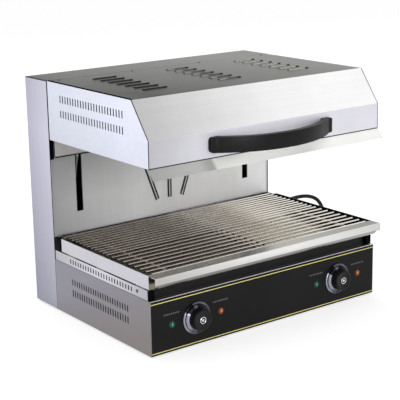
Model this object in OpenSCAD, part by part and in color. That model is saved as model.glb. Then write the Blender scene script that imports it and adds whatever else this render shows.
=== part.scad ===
// Lift-hood cheese melter: a base with two heat controls and a drip tray,
// a rear column, and a heated hood that rides up and down on two guide rods.
// Sizes are in millimetres. X is to the right seen from the front, the front
// looks along -Y, and Z is up. The origin lies on the standing surface, under
// the middle of the steel body and its handle.

/* [Cabinet] */
// Width over the side panels
body_w = 600; // [520:5:760]
// Depth from the fascia to the rear cover
body_d = 450; // [420:5:540]
// Height of the steel body above its feet
body_h = 500; // [480:5:580]
// Thickness of the sheet steel
sheet = 1.2; // [0.8:0.1:1.6]
// Height of the rubber feet
foot_h = 4; // [3:0.5:8]
// Radius of the rubber feet
foot_r = 14; // [8:1:20]
// Distance from the cabinet's sides to the middle of a foot
foot_inset = 36; // [24:1:60]

/* [Base] */
// Height of the base's side panels
base_h = 113; // [100:1:130]
// Height of the vent band between the side panel and the tray
band_h = 21; // [16:1:30]
// Distance that the vent band stands back from the fascia
band_setback = 10; // [4:1:20]
// Width of the flange that the tray glides on
runner_w = 14; // [10:1:24]
// Thickness of the black fascia plate
fascia_t = 0.8; // [0.5:0.1:1.5]
// Height of a gold stripe on the fascia
stripe_h = 1.6; // [1:0.1:3]
// Distance from the fascia's edge to a stripe
stripe_inset = 4.5; // [2:0.5:8]
// Number of vent slots in a row
slot_count = 24; // [12:1:28]
// Width of a vent slot
slot_w = 3.6; // [2:0.2:5]
// Distance between the vent slots of the base
base_slot_pitch = 9.1; // [8:0.1:10]
// Distance between the vent slots of the band and the hood
hood_slot_pitch = 10; // [8:0.1:11]
// Height of a vent slot in a side panel
slot_h = 15; // [10:1:20]
// Height of a vent slot in the band
band_slot_h = 10; // [6:1:12]

/* [Column] */
// Depth of the rear column
column_d = 90; // [88:1:120]
// Distance that the column's front panel stands back
panel_recess = 3; // [2:0.5:8]
// Width of the two long slots that the lift arms run in
arm_slot_w = 16; // [10:0.5:20]
// Distance from the middle to a lift arm
arm_x = 229.5; // [200:0.5:235]
// Radius of a guide rod
rod_r = 6; // [4:0.5:8]
// Distance from the middle to a guide rod
rod_x = 190; // [170:1:200]
// Distance from the middle to a rope pulley
pulley_x = 110; // [80:1:130]
// Radius of the rope's middle line on a pulley
pulley_r = 14; // [12:0.5:16]
// Radius of the lift rope
rope_r = 1.2; // [0.8:0.1:1.6]
// Height of the counterweight
weight_h = 150; // [60:5:150]
// Width of the counterweight
weight_w = 360; // [240:5:400]
// Thickness of the counterweight
weight_t = 20; // [12:1:20]

/* [Hood] */
// Height of the hood's side panels
hood_h = 124; // [112:1:140]
// Height of the hood's upright front face
face_h = 53.5; // [48:0.5:60]
// Depth of the hood's sloped front
slope_d = 52.6; // [40:0.2:70]
// Distance that the hood stands out over the fascia
overhang = 6.6; // [2:0.2:12]
// Gap between the hood and the column
hood_gap = 3.3; // [2:0.1:6]
// Gap between the hood's side panels and its folded front
seam_gap = 1.8; // [0.6:0.2:3]
// Forward reach of the slanted front lip
lip_reach = 17.6; // [10:0.2:24]
// Drop of the slanted front lip
lip_drop = 20; // [12:1:28]
// Drop of the rear skirt below the side panels
skirt_drop = 41; // [20:1:44]
// Distance that the hood travels down
hood_travel = 120; // [60:5:125]
// Length of a top louvre
louvre_l = 54; // [30:1:70]
// Distance between the top louvres
louvre_pitch = 30.6; // [24:0.2:34]
// Height of a top louvre
louvre_h = 2.6; // [1.5:0.1:4]
// Radius of a tubular heating element
element_r = 4; // [3:0.5:5]
// Distance between the runs of a heating element
element_pitch = 66; // [52:1:70]

/* [Handle] */
// Length of the handle over its ends
handle_l = 318; // [240:2:380]
// Distance that the handle bows out from the hood
handle_bow = 62; // [50:1:75]
// Height of the handle
handle_h = 31; // [24:1:36]
// Thickness of the handle's grip
handle_t = 13; // [10:0.5:16]

/* [Tray and grate] */
// Height of the drip tray
tray_h = 28; // [24:1:36]
// Distance that the tray's side walls end short of the column
tray_step = 31; // [20:1:40]
// Forward reach of the tray's pull rail
rail_reach = 23; // [14:1:32]
// Height of the pull rail's face
rail_h = 15.5; // [12:0.5:20]
// Radius of a grate rod
grate_rod_r = 2.5; // [1.5:0.1:3]
// Number of widely spaced rods at the front
wide_rods = 9; // [5:1:10]
// Distance between the front rods
wide_pitch = 20.2; // [16:0.2:22]
// Distance between the rear rods
close_pitch = 15; // [12:0.2:16]

/* [Controls] */
// Distance from the middle to a knob
knob_x = 190; // [150:1:210]
// Distance from a knob to the lamps on either side
lamp_x = 60.5; // [50:0.5:75]
// Radius of a knob's grip
knob_r = 23; // [18:0.5:26]
// Depth of a knob
knob_d = 23; // [16:0.5:30]
// Outer radius of the chrome ring round a knob
ring_r = 34; // [30:0.5:38]
// Radius of an indicator lamp
lamp_r = 7.5; // [5:0.5:10]

/* [Lead] */
// Diameter of the mains lead
cord_d = 10; // [8:0.5:10]
// Radius of the plug's body
plug_r = 18; // [16:0.5:20]

/* [Hidden] */
$fn = 48;

// gap between pieces that slide past each other
run_gap = 0.3;
// radial gap of a shaft in its hole
fit_gap = 0.05;
// how far a cutting body reaches past what it cuts
cut = 1;

half_w = body_w / 2;
inner_w = half_w - sheet;
base_z = foot_h;
base_top = base_z + base_h;
body_top = base_z + body_h;
column_y = body_d - column_d;
screw_head = 2;
screw_r = 3.5;
screw_l = 6;
thread_r = 1.8;

// base
floor_slot_x = half_w * 0.4;
floor_slot_y = 110;
floor_slot_l = 100;
floor_slot_w = 5;
floor_slot_pitch = 18;
foot_hole_r = 2.6;
foot_taper = 1;
runner_x = inner_w - sheet;
band_top = base_top + band_h;
panel_y = fascia_t + sheet;
panel_flange = 12;
runner_tuck = 14;
glide_l = 30;
glide_edge = 2;
baffle_gap = 1;
stripe_t = 0.2;
tray_rear_gap = 6;
runner_gap = 0.6;
runner_end = column_y - runner_gap;
side_slot_y = 80;
base_row_low = 47;
base_row_step = 25.5;
band_slot_y = 66;
band_slot_z = base_top + (band_h - band_slot_h) / 2;
band_screw_y = 46;

// column
seam_flange = 15;
rear_slot_x = half_w / 2;
rear_slot_rise = 40;
rear_slot_z = base_top + rear_slot_rise;
rear_slot_l = 90;
rear_slot_w = 5;
rear_slot_pitch = 20;
cover_screw_end = 30;
cover_screw_edge = 9;
front_panel_y = column_y + panel_recess;
column_in_y = front_panel_y + sheet;
cover_y = body_d - sheet;
cap_z = body_top - sheet;
rod_back = 44;
carriage_back = 28;
rod_y = column_in_y + rod_back;
carriage_y = column_in_y + carriage_back;
carriage_t = 3;
carriage_h = 106;
weight_y = rod_y + 2 * pulley_r;
weight_lift = 40;
weight_low = base_z + sheet + weight_lift;
rod_end = 4;
weight_top = weight_low + weight_h;
beam_t = 6;
beam_d = 20;
cheek_d = 15;
pulley_w = 8;
pulley_rim = 3;
pulley_gap = 4;
pulley_z = cap_z - beam_t - pulley_r - pulley_rim - pulley_gap;
pulley_y = rod_y + pulley_r;
axle_r = 3;
cheek_t = 2;
cheek_gap = 1;
block_w = 26;
block_d = 24;
block_h = 22;
fan_slot_h = 100;
fan_x = 8;
fan_low = 34;
fan_tilt = 20;
fan_step = 34;
fan_slot_w = 2.4;
fan_web = 4;

// hood
hood_z = body_top - hood_h;
hood_front = -overhang;
hood_rear = column_y - hood_gap;
slope_y = hood_front + slope_d;
slope_z = hood_z + face_h;
hood_in_w = inner_w - seam_gap;
skirt_z = hood_z - skirt_drop;
skirt_side = 10.4;
skirt_w = half_w - skirt_side;
pan_side = 12;
pan_front_gap = 6;
pan_rear_gap = 4;
pan_lift = 1;
pan_w = half_w - pan_side;
pan_y = hood_front + sheet + pan_front_gap;
pan_end = hood_rear - sheet - pan_rear_gap;
pan_low = hood_z + pan_lift;
pan_h = 50;
pan_top = hood_z + pan_h;
slab_t = 20;
slab_front_gap = 8;
slab_front = slope_y - slab_front_gap;
element_rise = 28;
element_edge = 70;
zone_gap = 2;
element_z = hood_z + element_rise;
element_front = pan_y + element_edge;
element_rear = pan_end - element_edge;
zone_x = pan_w / 2 - zone_gap;
hood_slot_y = 76;
hood_row_low = 54;
hood_row_step = 31;
louvre_front = 82;
louvre_side = 112;
louvre_first = slope_y + louvre_front;
louvre_x = half_w - louvre_side;
louvre_rim = 1;
louvre_skin = 0.8;
hood_screw_side = 27;
hood_screw_edge = 4;
lip_gap = 0.4;
lip_tongue = 16;
slab_edge = 2;
tail_out = 2.5;
hanger_t = 1.5;
hanger_in = 20;
hanger_over = 12;
hanger_drop = 8;
louvre_w = 9;

// lift
arm_t = 4;
arm_rise = 6;
arm_low = skirt_z + arm_rise;
arm_h = 115;
arm_top = arm_low + arm_h;
arm_end_gap = 12.5;
arm_head_gap = 6;
arm_gap = 2;
arm_shoulder = 12;
arm_toe = 62;
arm_toe_w = 5;
arm_toe_in = 14;
arm_foot_w = 26;
arm_foot_t = 2.5;
arm_slot_low = arm_low - hood_travel - arm_end_gap;
carriage_low = arm_low + arm_t;
anchor_w = 20;
anchor_over = 5;
carriage_over = 12;
anchor_h = 15;
anchor_rise = 74;
anchor_low = carriage_low + anchor_rise;
bush_wall = 3;
bush_r = rod_r + bush_wall;
bush_h = 25;

// tray
tray_lift = 3.5;
tray_z = band_top + tray_lift;
tray_top = tray_z + tray_h;
glide_top = tray_z - run_gap;
tray_front = 3;
tray_side_end = column_y - tray_step;
tray_side = 11;
tray_end = column_y - tray_rear_gap;
tray_in_w = half_w - tray_side;
rail_y = tray_front - rail_reach;
rail_flange = 6.3;
hem_in = 7;
hem_drop = 8;
grate_proud = 0.5;
grate_side = 14;
grate_z = tray_top + grate_proud - grate_rod_r;
grate_w = half_w - grate_side;
bar_r = 3;
bar_side = 60;
bar_x = half_w - bar_side;
mid_bar_x = 5;
grate_front_gap = 4;
grate_y = tray_front + rail_flange + grate_front_gap;
weld = 0.5;
bar_z = grate_z - grate_rod_r - bar_r + weld;
bar_over = 3;
grate_gap = 14;
wide_end = grate_y + (wide_rods - 1) * wide_pitch;
close_rods = floor((tray_end - grate_gap - wide_end) / close_pitch);
grate_end = wide_end + close_rods * close_pitch;
rest_in = 12;
rest_r = 7;

// controls
control_rise = 57;
control_z = base_z + control_rise;
shaft_r = 3;
shaft_l = 16;
neck_r = 5;
box_w = 44;
box_d = 38;
tab_pitch = 12;
tab_w = 6;
tab_l = 8;
tab_t = 1;
flange_t = 4;
flange_gap = 1;
ring_w = 6.5;
pointer_w = 2.4;
pointer_rise = 0.6;
ring_t = 4;
lamp_t = 3;
lamp_body_r = 5.8;
lamp_body_d = 24;

// handle
boss_l = 26;
boss_d = 10;
boss_corner = 5;
handle_corner = 8;
handle_rise = 11;
handle_z = hood_z + handle_rise;
chord = handle_l / 2;
bow_r = (chord * chord + handle_bow * handle_bow) / (2 * handle_bow);
bow_angle = 60;
handle_screw_r = 2.5;
handle_screw_l = 7;
handle_screw_x = chord - boss_l / 2 + 1;

// middle of the steel body, its handle and its rear screws
origin_y = (overhang + handle_bow - body_d - screw_head) / 2;

// mains lead
cord_r = cord_d / 2;
gland_side = 38;
gland_x = half_w - gland_side;
gland_z = 80;
gland_r = 7.8;
gland_in = 8;
gland_l = 30;
nut_r = 14;
nut_t = 7;
collar_r = 11;
collar_l = 6;
terminal_in = 18;
terminal_x = gland_x - terminal_in;
terminal_l = 60;
terminal_w = 24;
terminal_h = 22;
terminal_gap = 1;
terminal_y = rod_y + (block_d + terminal_w) / 2 + terminal_gap;
coil_out = 233;
coil_x = gland_x + coil_out;
coil_y = 80;
coil_r = 60;
coil_lift = 1;
coil_w = 2.5 * cord_d;
tie_w = 8;
plug_l = 34;
grip_l = 30;
tail_l = 28;
pin_l = 19;
pin_r = 2.4;
pin_pitch = 19;
// route to the coil, measured from the gland and the rear cover
cord_route = [
    [0, 30, 80], [0, 42, 80], [3, 55, 80], [9, 67, 80], [19, 76, 80.5], [32, 81, 81],
    [48, 82, 81.5], [66, 80, 82.5], [88, 77, 84], [113, 73, 86], [138, 69, 88],
    [163, 65, 89.5], [188, 61, 91], [213, 58, 92], [236, 54, 93], [256, 51, 92.5],
    [274, 48, 90], [290, 46, 85.5], [305, 43, 78], [318, 41, 68], [330, 40, 57],
    [341, 39, 45], [352, 39, 32.5], [364, 40, 21.5], [376, 43, 13], [388, 49, 7.5],
    [399, 58, 5.5], [407, 69, 5.2], [411, 82, 5.2], [409, 95, 5.2], [402, 107, 5.2],
    [391, 116, 5.2], [377, 122, 5.2], [358, 126, 5.2], [336, 130, 5.2], [313, 133, 5.2],
    [290, 137, 5.4], [268, 139, 5.8], [248, 140, 6.2]
];

// ---------------------------------------------------------------- helpers

// moves a piece from the cabinet's front plane to the part's own origin
module placed() {
    translate([0, origin_y, 0])
        children();
}

// a box between two corners
module block(low, high) {
    translate(low)
        cube(high - low);
}

// a round bar along X, centred
module bar_along_x(r, length) {
    rotate([0, 90, 0])
        cylinder(r = r, h = length, center = true);
}

// a round bar along Y, from the given point to the rear
module bar_along_y(r, length) {
    rotate([-90, 0, 0])
        cylinder(r = r, h = length);
}

// an outline in Y and Z, extruded to both sides of the middle
module across(width) {
    rotate([90, 0, 90])
        linear_extrude(height = width, center = true)
            children();
}

// a row of upright vent slots cut through a side sheet at x
module slot_row(x, first_y, pitch, low_z, height) {
    for (i = [0 : slot_count - 1])
        block([x - sheet - cut, first_y + i * pitch - slot_w / 2, low_z],
            [x + sheet + cut, first_y + i * pitch + slot_w / 2, low_z + height]);
}

// the same piece on both sides
module both_sides() {
    children();
    mirror([1, 0, 0])
        children();
}

// a pan-head screw whose head stands on the XY plane
module pan_head() {
    rotate_extrude()
        polygon([[0, -screw_l], [thread_r, -screw_l], [thread_r, 0], [screw_r, 0],
            [screw_r, screw_head * 0.45], [screw_r * 0.66, screw_head], [0, screw_head]]);
}

// ---------------------------------------------------------------- base

module floor_plate() {
    color("silver") placed() difference() {
        block([-inner_w, panel_y, base_z], [inner_w, cover_y, base_z + sheet]);
        for (x = [-1, 1], y = [0 : 8])
            block([x * floor_slot_x - floor_slot_l / 2, floor_slot_y + y * floor_slot_pitch,
                base_z - cut], [x * floor_slot_x + floor_slot_l / 2,
                floor_slot_y + y * floor_slot_pitch + floor_slot_w, base_z + sheet + cut]);
        for (x = [-1, 1], y = [foot_inset, body_d - foot_inset])
            translate([x * (half_w - foot_inset), y, base_z - cut])
                cylinder(r = foot_hole_r, h = sheet + 2 * cut);
    }
}

module base_side_sheet() {
    color("darkgray") placed() difference() {
        block([-half_w, 0, base_z], [-inner_w, column_y, base_top]);
        slot_row(-half_w, side_slot_y, base_slot_pitch, base_z + base_row_low, slot_h);
        slot_row(-half_w, side_slot_y, base_slot_pitch,
            base_z + base_row_low + base_row_step, slot_h - 2);
    }
}

module base_side_left() {
    base_side_sheet();
}

module base_side_right() {
    mirror([1, 0, 0])
        base_side_sheet();
}

module runner() {
    color("lightgray") placed() difference() {
        union() {
            block([-inner_w, band_setback, base_top - runner_tuck],
                [-runner_x, runner_end, band_top]);
            block([-inner_w, band_setback, band_top - sheet],
                [-runner_x + runner_w, runner_end, band_top]);
        }
        slot_row(-inner_w, band_slot_y, hood_slot_pitch, band_slot_z, band_slot_h);
        translate([-inner_w - cut, band_screw_y, band_top - band_h / 2])
            rotate([0, 90, 0])
                cylinder(r = thread_r, h = sheet + 2 * cut);
    }
}

module tray_runner_left() {
    runner();
}

module tray_runner_right() {
    mirror([1, 0, 0])
        runner();
}

module tray_glides() {
    color("ivory") placed() both_sides()
        for (y = [band_setback + glide_l, (band_setback + runner_end) / 2,
            tray_side_end - glide_l])
            block([-runner_x + glide_edge, y - glide_l / 2, band_top],
                [-runner_x + runner_w - glide_edge, y + glide_l / 2, glide_top]);
}

module deck_plate() {
    deck_y = panel_y + sheet + panel_flange;
    color("black") placed() {
        block([-runner_x, deck_y, base_top - sheet], [runner_x, front_panel_y, base_top]);
        block([-runner_x + runner_w + baffle_gap, deck_y, base_top],
            [runner_x - runner_w - baffle_gap, deck_y + sheet, band_top]);
    }
}

module front_panel() {
    color("silver") placed() difference() {
        union() {
            block([-inner_w, fascia_t, base_z], [inner_w, panel_y, base_top]);
            block([-runner_x, panel_y, base_top - sheet],
                [runner_x, panel_y + sheet + panel_flange, base_top]);
        }
        control_holes();
    }
}

// holes for the thermostat necks and the lamp bodies
module control_holes() {
    for (side = [-1, 1]) {
        translate([side * knob_x, -cut, control_z])
            bar_along_y(neck_r, panel_y + 2 * cut);
        for (lamp = [-1, 1])
            translate([side * knob_x + lamp * lamp_x, -cut, control_z])
                bar_along_y(lamp_body_r, panel_y + 2 * cut);
    }
}

module fascia() {
    color([0.12, 0.12, 0.13]) placed() difference() {
        block([-half_w, 0, base_z + 0.6], [half_w, fascia_t, base_top - sheet]);
        block([-half_w - cut, -cut, base_z], [-inner_w, fascia_t + cut, base_top]);
        block([inner_w, -cut, base_z], [half_w + cut, fascia_t + cut, base_top]);
        control_holes();
    }
}

module fascia_stripes() {
    color("darkkhaki") placed()
        for (z = [base_z + stripe_inset, base_top - sheet - stripe_inset - stripe_h])
            block([-inner_w, -stripe_t, z], [inner_w, 0, z + stripe_h]);
}

module feet() {
    color("black") placed() both_sides()
        for (y = [foot_inset, body_d - foot_inset])
            translate([half_w - foot_inset, y, 0])
                cylinder(r1 = foot_r - foot_taper, r2 = foot_r, h = foot_h);
}

// ---------------------------------------------------------------- column

module column_side() {
    color("lightsteelblue") placed() {
        block([-half_w, column_y, base_z], [-inner_w, cover_y, cap_z]);
        block([-inner_w, cover_y - seam_flange, base_z + sheet],
            [-inner_w + sheet, cover_y, cap_z]);
    }
}

module column_side_left() {
    column_side();
}

module column_side_right() {
    mirror([1, 0, 0])
        column_side();
}

// a pressed rib between two narrow slots, fanned out from the middle
module fan_rib(lean) {
    for (side = [-1, 1])
        translate([fan_x + lean * fan_step, front_panel_y, tray_top + fan_low])
            rotate([0, lean * fan_tilt, 0])
                translate([side * (fan_web + fan_slot_w) / 2 - fan_slot_w / 2, -cut, 0])
                    cube([fan_slot_w, sheet + 2 * cut, fan_slot_h]);
}

module column_front_panel() {
    color("lightgray") placed() difference() {
        block([-inner_w, front_panel_y, base_top], [inner_w, column_in_y, cap_z]);
        for (side = [-1, 1])
            block([side * arm_x - arm_slot_w / 2, front_panel_y - cut, arm_slot_low],
                [side * arm_x + arm_slot_w / 2, column_in_y + cut, arm_top + arm_head_gap]);
        for (lean = [-1, 0, 1])
            fan_rib(lean);
    }
}

module rear_cover() {
    color("lightgray") placed() difference() {
        block([-half_w, cover_y, base_z], [half_w, body_d, cap_z]);
        for (x = [-1, 0, 1], row = [0 : 8])
            block([x * rear_slot_x - rear_slot_l / 2, cover_y - cut,
                rear_slot_z + row * rear_slot_pitch], [x * rear_slot_x + rear_slot_l / 2,
                body_d + cut, rear_slot_z + row * rear_slot_pitch + rear_slot_w]);
        translate([gland_x, cover_y - cut, gland_z])
            bar_along_y(gland_r + 0.2, sheet + 2 * cut);
        cover_screw_places()
            translate([0, 0, -sheet - cut])
                cylinder(r = thread_r, h = sheet + 2 * cut);
    }
}

module column_cap() {
    color("gray") placed()
        block([-half_w, column_y, cap_z], [half_w, body_d, body_top]);
}

// the rear cover's screws, along its edges
module cover_screw_places() {
    for (x = [-1, 1], z = [base_z + cover_screw_end, (base_z + cap_z) / 2,
        cap_z - cover_screw_end])
        translate([x * (half_w - cover_screw_edge), body_d, z])
            rotate([-90, 0, 0])
                children();
}

module cabinet_screws() {
    color("silver") placed() {
        cover_screw_places()
            pan_head();
        both_sides()
            translate([-inner_w, band_screw_y, band_top - band_h / 2])
                rotate([0, -90, 0])
                    scale(0.5)
                        pan_head();
    }
}

module guide_rods() {
    color("gainsboro") placed() both_sides()
        guide_rod();
}

module guide_rod() {
    translate([rod_x, rod_y, base_z + sheet + rod_end])
        cylinder(r = rod_r, h = cap_z - base_z - sheet - 2 * rod_end);
}

module rod_blocks() {
    color("dimgray") placed() both_sides()
        for (z = [base_z + sheet, cap_z - block_h])
            difference() {
                block([rod_x - block_w / 2, rod_y - block_d / 2, z],
                    [rod_x + block_w / 2, rod_y + block_d / 2, z + block_h]);
                guide_rod();
            }
}

module pulley_beam() {
    cheek_x = pulley_w / 2 + cheek_gap;
    color("dimgray") placed() {
        block([-pulley_x - beam_d, pulley_y - beam_d / 2, cap_z - beam_t],
            [pulley_x + beam_d, pulley_y + beam_d / 2, cap_z]);
        for (side = [-1, 1]) {
            for (face = [-1, 1])
                block([side * pulley_x + face * (cheek_x + cheek_t / 2) - cheek_t / 2,
                    pulley_y - cheek_d / 2, pulley_z - cheek_d / 2],
                    [side * pulley_x + face * (cheek_x + cheek_t / 2) + cheek_t / 2,
                    pulley_y + cheek_d / 2, cap_z - beam_t]);
            translate([side * pulley_x, pulley_y, pulley_z])
                bar_along_x(axle_r, 2 * (cheek_x + cheek_t + cheek_t));
        }
    }
}

module rope_wraps() {
    color("silver") placed() both_sides()
        translate([pulley_x, pulley_y, pulley_z])
            rotate([90, 0, 90])
                rotate_extrude(angle = 180)
                    translate([pulley_r, 0])
                        circle(r = rope_r, $fn = 24);
}

// ---------------------------------------------------------------- controls

module thermostat(side) {
    color("ivory") placed() translate([side * knob_x, 0, control_z]) {
        translate([-box_w / 2, panel_y, -box_w / 2])
            cube([box_w, box_d, box_w]);
        translate([0, -ring_t / 2, 0])
            bar_along_y(neck_r, panel_y + ring_t / 2);
        translate([0, -shaft_l, 0])
            bar_along_y(shaft_r, shaft_l);
        for (x = [-1, 0, 1])
            translate([x * tab_pitch - tab_w / 2, panel_y + box_d, 0])
                cube([tab_w, tab_l, tab_t]);
    }
}

module thermostat_left() {
    thermostat(-1);
}

module thermostat_right() {
    thermostat(1);
}

module lamp(x) {
    translate([x, 0, control_z]) {
        bar_along_y(lamp_body_r, lamp_body_d);
        rotate([90, 0, 0])
            rotate_extrude()
                polygon([[0, 0], [lamp_r, 0], [lamp_r, lamp_t * 0.4],
                    [lamp_r * 0.7, lamp_t * 0.85], [0, lamp_t]]);
    }
}

module power_lamps() {
    color("seagreen") placed()
        for (side = [-1, 1])
            lamp(side * knob_x - lamp_x);
}

module heat_lamps() {
    color("darkorange") placed()
        for (side = [-1, 1])
            lamp(side * knob_x + lamp_x);
}

module knob_rings() {
    color("gainsboro") placed()
        for (side = [-1, 1])
            translate([side * knob_x, 0, control_z])
                rotate([90, 0, 0])
                    rotate_extrude()
                        polygon([[ring_r - ring_w, 0], [ring_r, 0], [ring_r, ring_t * 0.4],
                            [ring_r - ring_w * 0.3, ring_t], [ring_r - ring_w * 0.7, ring_t],
                            [ring_r - ring_w, ring_t * 0.6]]);
}

module knob(side) {
    foot = ring_t / 2;
    flange_r = ring_r - ring_w - flange_gap;
    color([0.1, 0.1, 0.11]) placed() translate([side * knob_x, 0, control_z])
        rotate([90, 0, 0])
            difference() {
                union() {
                    translate([0, 0, foot + run_gap])
                        cylinder(r1 = flange_r, r2 = flange_r - 1, h = flange_t);
                    translate([0, 0, foot + flange_t])
                        cylinder(r1 = knob_r, r2 = knob_r - 1.5, h = knob_d - foot - flange_t);
                    translate([-pointer_w / 2, 0, foot + flange_t])
                        cube([pointer_w, knob_r + pointer_rise,
                            knob_d - foot - flange_t - pointer_rise]);
                }
                translate([0, 0, -cut])
                    cylinder(r = shaft_r + fit_gap, h = shaft_l + cut + run_gap);
            }
}

module knob_left() {
    knob(-1);
}

module knob_right() {
    knob(1);
}

module terminal_block() {
    color("ivory") placed() difference() {
        block([terminal_x - terminal_l / 2, terminal_y - terminal_w / 2, base_z + sheet],
            [terminal_x + terminal_l / 2, terminal_y + terminal_w / 2,
                base_z + sheet + terminal_h]);
        for (i = [-2 : 2])
            translate([terminal_x + i * terminal_l / 5, terminal_y, base_z + sheet + 6])
                cylinder(r = 2, h = terminal_h);
    }
}

// ---------------------------------------------------------------- lead

module cable_gland() {
    color([0.08, 0.08, 0.08]) placed() translate([gland_x, body_d, gland_z]) {
        translate([0, -sheet - gland_in, 0])
            bar_along_y(gland_r, sheet + gland_in);
        rotate([-90, 0, 0])
            cylinder(r = nut_r, h = nut_t, $fn = 6);
        translate([0, nut_t, 0])
            bar_along_y(collar_r, collar_l);
        translate([0, nut_t + collar_l, 0])
            rotate([-90, 0, 0])
                cylinder(r1 = collar_r - 2, r2 = cord_r + 1.2, h = gland_l - nut_t - collar_l);
    }
}

function unit(v) = v / norm(v);
function heading(path, i) =
    unit(path[min(i + 1, len(path) - 1)] - path[max(i - 1, 0)]);

// a tube of round rings, swept along a path
module swept_tube(path, r, sides) {
    rings = [for (i = [0 : len(path) - 1])
        let (ahead = heading(path, i), beside = unit(cross(ahead, [0, 0, 1])),
            above = cross(beside, ahead))
        [for (k = [0 : sides - 1])
            path[i] + r * (cos(k * 360 / sides) * beside + sin(k * 360 / sides) * above)]];
    points = [for (ring = rings) each ring];
    last = (len(path) - 1) * sides;
    polyhedron(points, concat(
        [[for (k = [0 : sides - 1]) sides - 1 - k]],
        [[for (k = [0 : sides - 1]) last + k]],
        [for (i = [0 : len(path) - 2], k = [0 : sides - 1])
            [i * sides + k, i * sides + (k + 1) % sides,
                (i + 1) * sides + (k + 1) % sides, (i + 1) * sides + k]]));
}

module mains_cord() {
    color([0.08, 0.08, 0.08]) placed() translate([gland_x, body_d, 0])
        swept_tube(cord_route, cord_r, 10);
}

// outline of the coil's bundle of turns, with its corners cut off
function bundle(edge) = let (inner = coil_r + cord_r - coil_w, outer = coil_r + cord_r,
    low = coil_lift, high = coil_lift + 2 * cord_d + 0.4)
    [[inner + edge, low], [outer - edge, low], [outer, low + edge], [outer, high - edge],
        [outer - edge, high], [inner + edge, high], [inner, high - edge], [inner, low + edge]];

module cord_coil() {
    color([0.08, 0.08, 0.08]) placed() translate([coil_x, body_d + coil_y, 0])
        rotate_extrude()
            polygon(bundle(3));
}

module cord_tie() {
    wall = coil_lift;
    color("black") placed()
        translate([coil_x, body_d + coil_y - coil_r - cord_r, 0])
            difference() {
                block([-tie_w / 2, -wall, 0],
                    [tie_w / 2, coil_w + wall + 0.4, 2 * (cord_d + wall) + 0.4]);
                block([-tie_w / 2 - cut, 0, wall],
                    [tie_w / 2 + cut, coil_w + 0.2, 2 * cord_d + wall + 0.4]);
            }
}

// a plug with two round pins, lying beside the coil
module mains_plug() {
    color([0.08, 0.08, 0.08]) placed()
        translate([coil_x, body_d + coil_y + coil_r, plug_r])
            rotate([0, -90, 0]) {
                cylinder(r = cord_r, h = tail_l);
                translate([0, 0, tail_l])
                    cylinder(r1 = cord_r + 1, r2 = plug_r - 5, h = grip_l);
                translate([0, 0, tail_l + grip_l])
                    cylinder(r = plug_r, h = plug_l);
                for (side = [-1, 1])
                    translate([0, side * pin_pitch / 2, tail_l + grip_l + plug_l])
                        cylinder(r = pin_r, h = pin_l);
            }
}

// ---------------------------------------------------------------- hood

function hood_outline() = [[hood_rear, hood_z], [hood_front, hood_z],
    [hood_front, slope_z], [slope_y, body_top], [hood_rear, body_top]];

module hood_side() {
    color("lavender") placed() difference() {
        translate([-half_w + sheet / 2, 0, 0])
            across(sheet)
                polygon(hood_outline());
        slot_row(-half_w, hood_slot_y, hood_slot_pitch, hood_z + hood_row_low, slot_h);
        slot_row(-half_w, hood_slot_y, hood_slot_pitch,
            hood_z + hood_row_low + hood_row_step, slot_h);
    }
}

module hood_side_left() {
    hood_side();
}

module hood_side_right() {
    mirror([1, 0, 0])
        hood_side();
}

// middle of louvre number i, counted from the front, in group g
function louvre_place(g, i) = [g * louvre_x, louvre_first + i * louvre_pitch, body_top];

module hood_top_cover() {
    color("gray") placed() {
        difference() {
            block([-hood_in_w, slope_y, body_top - sheet], [hood_in_w, hood_rear, body_top]);
            for (g = [-1 : 1], i = [0 : 6])
                translate(louvre_place(g, i) - [louvre_l / 2, louvre_w / 2, sheet + cut])
                    cube([louvre_l, louvre_w, sheet + 2 * cut]);
            hood_screw_places()
                translate([0, 0, -sheet - cut])
                    cylinder(r = thread_r, h = sheet + 2 * cut);
        }
        for (g = [-1 : 1], i = [0 : 6])
            translate(louvre_place(g, i))
                louvre();
    }
}

// a pressed louvre, open to the front
module louvre() {
    rise = louvre_h - louvre_skin;
    across(louvre_l + 2 * louvre_rim)
        polygon([[louvre_w / 2 + louvre_rim, 0], [louvre_w / 2 + louvre_rim, -sheet / 3],
            [louvre_w / 2, -sheet / 3],
            [-louvre_w / 4, rise], [-louvre_w / 2, rise], [-louvre_w / 2, louvre_h],
            [-louvre_w / 4, louvre_h]]);
    for (side = [-1, 1])
        translate([side * (louvre_l + louvre_rim) / 2, 0, 0])
            across(louvre_rim)
                polygon([[louvre_w / 2 + louvre_rim, 0], [-louvre_w / 2, 0],
                    [-louvre_w / 2, louvre_h], [-louvre_w / 4, louvre_h]]);
}

// the top cover's screws, along its rear edge
module hood_screw_places() {
    for (x = [-1, -1 / 3, 1 / 3, 1])
        translate([x * (half_w - hood_screw_side), hood_rear - hood_screw_edge, body_top])
            children();
}

module hood_screws() {
    color("dimgray") placed() hood_screw_places()
        scale(0.6)
            pan_head();
}

module hood_front_panel() {
    // the sheet's inner corners, for a fold of even thickness
    lean = atan2(body_top - slope_z, slope_d);
    fold = sheet * tan(lean / 2);
    color("whitesmoke") placed() difference() {
        across(2 * hood_in_w)
            polygon([[hood_front, hood_z], [hood_front, slope_z], [slope_y, body_top],
                [slope_y, body_top - sheet / cos(lean)],
                [hood_front + sheet, slope_z + fold - sheet * tan(lean)],
                [hood_front + sheet, hood_z]]);
        both_sides()
            translate([handle_screw_x, hood_front - cut, handle_z + handle_h / 2])
                bar_along_y(handle_screw_r, sheet + 2 * cut);
    }
}

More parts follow.
